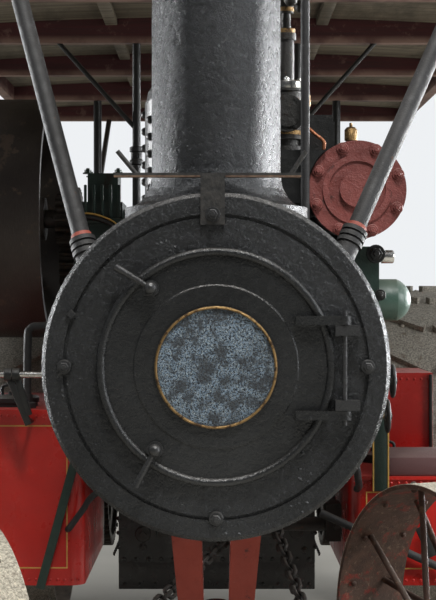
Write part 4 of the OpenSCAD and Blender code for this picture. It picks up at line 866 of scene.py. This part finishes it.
def engine_details():
    """Oil cups, drain cocks, the valve's flange, nuts and pipes round the cylinder and its guides."""
    brass = Piece("oil_cups", "brass")
    cup = [(0.009, -0.004), (0.009, 0.018), (0.02, 0.024), (0.02, 0.056), (0.014, 0.064), (0.005, 0.067),
        (0.005, 0.078)]
    for x, back, z in ((0.262, 0.79, 2.03), (GUIDE_X, 0.93, 1.943), (GUIDE_X, 1.21, 1.884),
            (GUIDE_X, 1.37, 1.884), (GUIDE_X, 1.53, 1.884)):
        brass.lathe(at(x, back, z), UP, cup, 18)
    for back in (0.80, 1.11):
        brass.lathe(at(GUIDE_X, back, 1.657), DOWN, [(0.014, -0.003), (0.014, 0.012), (0.009, 0.016),
            (0.009, 0.05)], 12)
        brass.pipe([at(0.38, back, 1.622), at(0.45, back, 1.622)], 0.006, 10)
    for z, r, h in ((2.26, 0.0275, 0.018), (2.33, 0.0235, 0.012), (1.962, 0.0535, 0.012)):
        brass.lathe(at(*COLUMN, z), UP, [(r, 0), (r, h)], 28)
    bright = Piece("valve_flange", "polished")
    bright.lathe(at(*COLUMN, 2.0985), UP, [(0.0568, 0), (0.0575, 0.002), (0.0575, 0.019), (0.0568, 0.021)],
        36)
    for a in turns(6, 30):
        bright.nut(at(*COLUMN, 2.121) + level(a, 0.043), UP, 0.0075)
    bright.lathe(at(0.495, 0.81, 1.605), LEFTWARD, [(0.02, 0), (0.02, 0.034), (0.017, 0.038), (0, 0.038)],
        20)
    cover = Piece("valve_cover_nuts", "black_paint")
    for where in around(at(COLUMN[0], 0.697, 2.022), 0.046, turns(6)):
        cover.nut(where, FRONT, 0.0065, washer=False)
    for x, z in ((0.477, 1.6126), (0.44, 1.49), (0.49, 1.49)):
        cover.nut(at(x, 0.7905, z), FRONT, 0.0195 if z > 1.6 else 0.012)
    copper = Piece("copper_pipes", "copper")
    copper.pipe([at(0.275, 0.765, 1.985), at(0.295, 0.75, 1.965), at(0.317, 0.745, 1.945),
        at(0.318, 0.745, 1.92)], 0.0055, 12, 6)
    copper.pipe([at(GUIDE_X, 0.80, 1.61), at(0.43, 0.82, 1.57), at(0.46, 0.95, 1.55), at(0.46, 1.09, 1.57),
        at(0.42, 1.11, 1.61)], 0.0055, 12, 6)
    studs = Piece("cylinder_studs", "black_paint")
    head = centre_of("cylinder_head")
    centre = at(head.x, 1.1705, head.z)
    for where in around(centre, 0.12, turns(8, 22.5)):
        if where.z > centre.z - 0.09:
            studs.nut(where, REAR, 0.012)


def canopy_details():
    """Battens under the boards, and bolts through the joists and rails."""
    battens = Piece("canopy_battens", "boards")
    for side in (-1, 1):
        battens.slab(at(side * 0.41, 2.64, 2.557), (0.046, 4.02, 0.026), tilt(side * 0.026), 0.002)
    bolts = Piece("canopy_bolts", "rust_bar")
    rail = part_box("canopy_rails")
    for side in (-1, 1):
        x = rail[1][0] if side > 0 else rail[0][0]
        line_of_rivets(bolts, at(x, 0.67, 2.508), at(x, 4.6, 2.508), 0.393, (side, 0, 0), 0.012)
    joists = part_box("canopy_joists")
    for x in (-0.9, -0.3, 0.3, 0.9):
        bolts.nut(at(x, joists[0][1] - FRONT_Y, 2.52), FRONT, 0.009)


def post_clamps():
    """Clamps half way up the two posts beside the crankshaft."""
    clamps = Piece("post_clamps", "black_paint")
    for side in (-1, 1):
        where = at(side * 0.313, 2.1425, 2.0)
        clamps.lathe(where, UP, [(0.02, 0.0), (0.027, 0.004), (0.027, 0.02), (0.022, 0.024), (0.022, 0.05),
            (0.027, 0.054), (0.027, 0.07), (0.02, 0.074)], 20)
        clamps.nut(where + Vector((0, -0.022, 0.037)), FRONT, 0.009)


def wheel_rivets(wheel, material, radii, axis, spokes, rows, r):
    """Rivet heads through a rim, outside and in, where the spokes meet it."""
    centre = centre_of(wheel + "_rim")
    axis = Vector(axis).normalized()
    up = Vector(UP)
    side = axis.cross(up)
    piece = Piece(wheel + "_wheel_rivets", material, wheel + "_wheel")
    for a in turns(spokes, 180 / spokes):
        out = up * math.cos(a) + side * math.sin(a)
        for row in rows:
            piece.rivet(centre + out * radii[0] + axis * row, -out, r)
            piece.rivet(centre + out * radii[1] + axis * row, out, r)


def rim_rivets():
    """The rivets of all four wheels."""
    for side in ("right", "left"):
        wheel_rivets(side + "_front", "rust_wheel", (0.4385, 0.4598), FRONT_AXLE, 16, (-0.075, 0.075),
            0.0095)
        wheel_rivets(side + "_rear", "dusty_wheel", (0.7235, 0.7445), LEFTWARD, 24, (-0.12, 0.12), 0.0115)


def pedestal_details():
    """The bolts that hold the pedestal to the smokebox."""
    bolts = Piece("pedestal_bolts", "pedestal_red")
    for x in (-0.17, 0.17):
        for back in (0.435, 0.565):
            bolts.nut(at(x, back, BOILER_Z - BARREL_R - 0.035), DOWN, 0.012)


def crank_bearing_details():
    """Ribs, cap nuts and a curved guard with its yellow edge on the front of the crank's bearing."""
    ribs = Piece("bearing_ribs", "green")
    for k in range(5):
        ribs.slab(at(-0.515 + 0.033 * k, 2.166, 1.862), (0.011, 0.012, 0.13), round_off=0.003)
    ribs.slab(at(-0.45, 2.164, 1.785), (0.17, 0.014, 0.02), round_off=0.004)
    for x in (-0.51, -0.39):
        ribs.nut(at(x, 2.22, 1.976), UP, 0.014)
        ribs.nut(at(x, 2.38, 1.976), UP, 0.014)
    guard = Piece("crank_guard", "black_paint")
    edge = Piece("crank_guard_edge", "gold")
    arc = [(-0.545, 1.812), (-0.50, 1.815), (-0.455, 1.806), (-0.41, 1.787), (-0.375, 1.76)]
    for piece, back, lift, r in ((guard, 2.15, -0.014, 0.013), (edge, 2.1365, -0.002, 0.0035)):
        piece.pipe([at(x, back, z + lift) for x, z in arc], r, 12, 5)


def backhead_details():
    """The blank gauge dial, the sight glass, the whistle, and the levers at the footplate."""
    centre = at(0.09, 2.966, 1.51)
    dial = Piece("gauge_dial", "dial")
    dial.lathe(centre, REAR, [(0.066, -0.002), (0.066, 0.0012), (0, 0.0012)], 40)
    brass = Piece("gauge_bezel", "brass")
    bezel = [(0.0765, -0.03), (0.0765, 0.006), (0.073, 0.009), (0.066, 0.007), (0.064, 0.001)]
    brass.band(centre, bezel, 48, 1)
    whistle = at(-0.095, 1.0, 2.185)
    brass.lathe(whistle, UP, [(0.012, 0), (0.012, 0.05), (0.024, 0.056), (0.024, 0.066), (0.02, 0.07),
        (0.02, 0.15), (0.012, 0.162), (0.005, 0.165), (0.005, 0.18)], 24)
    brass.lathe(at(-0.322, 3.188, 1.31), UP, [(0.012, 0), (0.014, 0.05), (0.011, 0.1), (0, 0.106)], 16)
    marks = Piece("gauge_marks", "black_paint")
    for k in range(13):
        a = math.radians(-135 + 22.5 * k)
        out = Vector((-math.sin(a), 0, math.cos(a)))
        marks.slab(centre + out * 0.055 + Vector((0, 0.0014, 0)), (0.0022, 0.0008, 0.012), tilt(-a), 0.0003)
    a = math.radians(-80)
    marks.slab(centre + Vector((-0.018 * math.sin(a), 0.003, 0.018 * math.cos(a))), (0.003, 0.001, 0.056),
        tilt(-a), 0.0003)
    marks.lathe(centre, REAR, [(0.006, 0), (0.006, 0.005), (0, 0.006)], 16)
    glass = Piece("sight_glass", "glass")
    glass.lathe(at(-0.15, 2.936, 1.375), UP, [(0.0135, 0), (0.0135, 0.15)], 20)
    levers = Piece("driver_levers", "hardware", slot="dark_iron")
    levers.pipe([at(-0.02, 2.885, 1.615), at(-0.02, 2.985, 1.615)], 0.018, 16)
    levers.pipe([at(-0.02, 2.975, 1.615), at(0.08, 2.99, 1.64), at(0.2, 3.01, 1.645), at(0.27, 3.02, 1.64)],
        lambda t: 0.012 - 0.004 * math.sin(math.pi * t), 14, 6)
    levers.slab(at(-0.322, 3.15, 1.01), (0.014, 0.034, 0.62), Matrix.Rotation(-0.12, 4, "X"), 0.004)
    levers.pipe([at(-0.34, 3.02, 1.0), at(-0.34, 3.1, 1.025), at(-0.34, 3.18, 1.025),
        at(-0.34, 3.27, 0.995)], 0.009, 12, 6)
    for back in (3.02, 3.27):
        levers.slab(at(-0.352, back, 0.855), (0.012, 0.03, 0.3), round_off=0.003)


def hub_details():
    """Nuts on the crank disc and the flywheel's hub, and the rear wheels' hub plates."""
    nuts = Piece("crank_disc_nuts", "steel", "crankshaft")
    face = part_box("crankshaft")[1][0] - 0.019
    for a in turns(6, 30):
        nuts.nut(at(face, *CRANK) + wheelwise(a, 0.085), LEFTWARD, 0.011)
    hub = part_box("flywheel")[0][0] + 0.03
    for a in turns(4, 45):
        nuts.nut(at(hub, *CRANK) + wheelwise(a, 0.064), RIGHTWARD, 0.011)
    for side, sign in (("right", -1), ("left", 1)):
        piece = Piece(side + "_rear_hub_nuts", "dark_iron", side + "_rear_wheel")
        centre = at(sign * 1.1, *REAR_AXLE)
        for a in turns(8):
            piece.nut(centre + wheelwise(a, 0.125), (sign, 0, 0), 0.013)
        piece.lathe(at(sign * 1.19, *REAR_AXLE), (sign, 0, 0),
            [(0.09, -0.01), (0.09, 0.003), (0.086, 0.006), (0.078, 0.007)], 32)


def middle(points):
    """The mean of some points."""
    return sum(points, Vector()) / len(points)


def steering_chain_pieces():
    """The two chains, split into one piece each, running from the drum on the engine to its hook on the
    turning axle.
    """
    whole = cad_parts["steering_chains"]
    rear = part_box("steering_chains")[1][1]
    points = [v.co.copy() for v in whole.data.vertices]
    drum = [p for p in points if p.y > rear - 0.03]
    drum_z = middle(drum).z
    ends = {}
    for side, name in ((-1, "right"), (1, "left")):
        outer = [p for p in points if p.x * side > 0.25]
        front = min(p.y for p in outer)
        hook = middle([p for p in outer if p.y < front + 0.02])
        ends[name] = (middle([p for p in drum if (p.z - drum_z) * side > 0]), hook)

    def off_line(p, start, end):
        """How far a point lies from a chain's centre line."""
        along = (end - start).normalized()
        return (p - start - along * (p - start).dot(along)).length

    for name, other in (("right", "left"), ("left", "right")):
        mesh = whole.data.copy()
        bm = bmesh.new()
        bm.from_mesh(mesh)
        places = [(f, f.calc_center_median()) for f in bm.faces]
        others = [f for f, p in places if off_line(p, *ends[name]) > off_line(p, *ends[other])]
        bmesh.ops.delete(bm, geom=others, context="FACES")
        bm.to_mesh(mesh)
        bm.free()
        piece = in_scene(name + "_steering_chain", mesh)
        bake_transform(piece)
        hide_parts("steering_chains")


def brace_rings():
    """The primer-red collars low on the canopy's front braces."""
    piece = Piece("brace_collars", "primer")
    for foot, head in (((-0.310, 0.195, 1.492), (-0.606, 0.629, 2.495)),
            ((0.303, 0.208, 1.524), (0.759, 0.628, 2.495))):
        start, end = at(*foot), at(*head)
        along = (end - start).normalized()
        piece.lathe(start + along * 0.158, along, [(0.027, 0), (0.027, 0.016)], 28)


smokebox_studs()
cylinder_head_nuts()
door_plate_face()
shell_rivets()
dome_seam()
chimney_details()
tanks()
firebox_details()
right_side_pipes()
left_side_pipes()
engine_details()
canopy_details()
post_clamps()
rim_rivets()
pedestal_details()
crank_bearing_details()
backhead_details()
hub_details()
brace_rings()
for piece in PIECES:
    piece.done()
steering_chain_pieces()


# Floor, light and camera


def stage():
    """The floor and its paint."""
    mesh = bpy.data.meshes.new("floor")
    size = 30.0
    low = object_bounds()[0][2]
    mesh.from_pydata([(-size, -size, low), (size, -size, low), (size, size, low), (-size, size, low)], [],
        [(0, 1, 2, 3)])
    in_scene("floor", mesh)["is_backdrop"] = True
    n = new_material("floor_paint")
    shade = n.mix(n.steps(n.noise(1.5), 0.3, 0.7), (0.42, 0.4, 0.35), (0.5, 0.475, 0.42))
    mesh.materials.append(n.finish(shade, 0.9, 0.0, n.noise(60.0), 0.05))


def lamp(name, where, look_at, size, power, tint=(1, 1, 1), spread=180):
    """An area lamp that looks at a point, with its spread in degrees."""
    light = bpy.data.lights.new(name, "AREA")
    light.shape = "RECTANGLE"
    light.size, light.size_y = size
    light.energy = power
    light.spread = math.radians(spread)
    light.color = tint
    holder = in_scene(name, light)
    holder.location = where
    holder.rotation_euler = (Vector(look_at) - Vector(where)).to_track_quat("-Z", "Y").to_euler()


def sky():
    """An overcast sky: pale behind and above the engine, darker low down in front of it."""
    world = bpy.data.worlds.new("sky")
    n = Nodes(world)
    where = n.new("TexCoord").outputs["Generated"]
    behind = n.steps(n.split("Y", where), -0.3, 0.3, 0.11, 0.9)
    above = n.steps(n.split("Z", where), 0.35, 0.9, 0.0, 0.6)
    back = n.new("Background", Color=(0.95, 0.975, 1.0), Strength=n.math("MAXIMUM", behind, above))
    n.new("OutputWorld", Surface=back.outputs[0])
    bpy.context.scene.world = world


def light_and_camera():
    """The sky, five lamps, and a level camera that looks rearward."""
    sky()
    lamp("key", (0.8, -4.9, 7.0), (0, -2.0, 1.5), (1.4, 1.0), 330, (1.0, 0.99, 0.97))
    lamp("right_sky", (6.0, -3.2, 3.0), (0, -1.5, 1.6), (2.0, 3.0), 230, (0.98, 0.99, 1.0))
    lamp("right_rim", (5.5, 2.4, 2.0), (0, -1.8, 1.8), (2.4, 2.6), 43, (0.98, 0.99, 1.0), 36)
    lamp("left_rim", (-5.5, 1.6, 2.0), (0, -1.8, 1.8), (2.0, 2.6), 26, (0.98, 0.99, 1.0), 36)
    lamp("top", (0.0, -1.0, 8.0), (0, -1.0, 0), (6.0, 6.0), 200)
    camera = bpy.data.cameras.new("camera")
    camera.lens = LENS_MM
    camera.clip_end = 100
    holder = in_scene("camera", camera)
    holder.location = at(*CAMERA)
    holder.rotation_euler = (math.radians(90), 0, 0)
    scene = bpy.context.scene
    scene.camera = holder
    scene.view_settings.view_transform = "Standard"


stage()
light_and_camera()
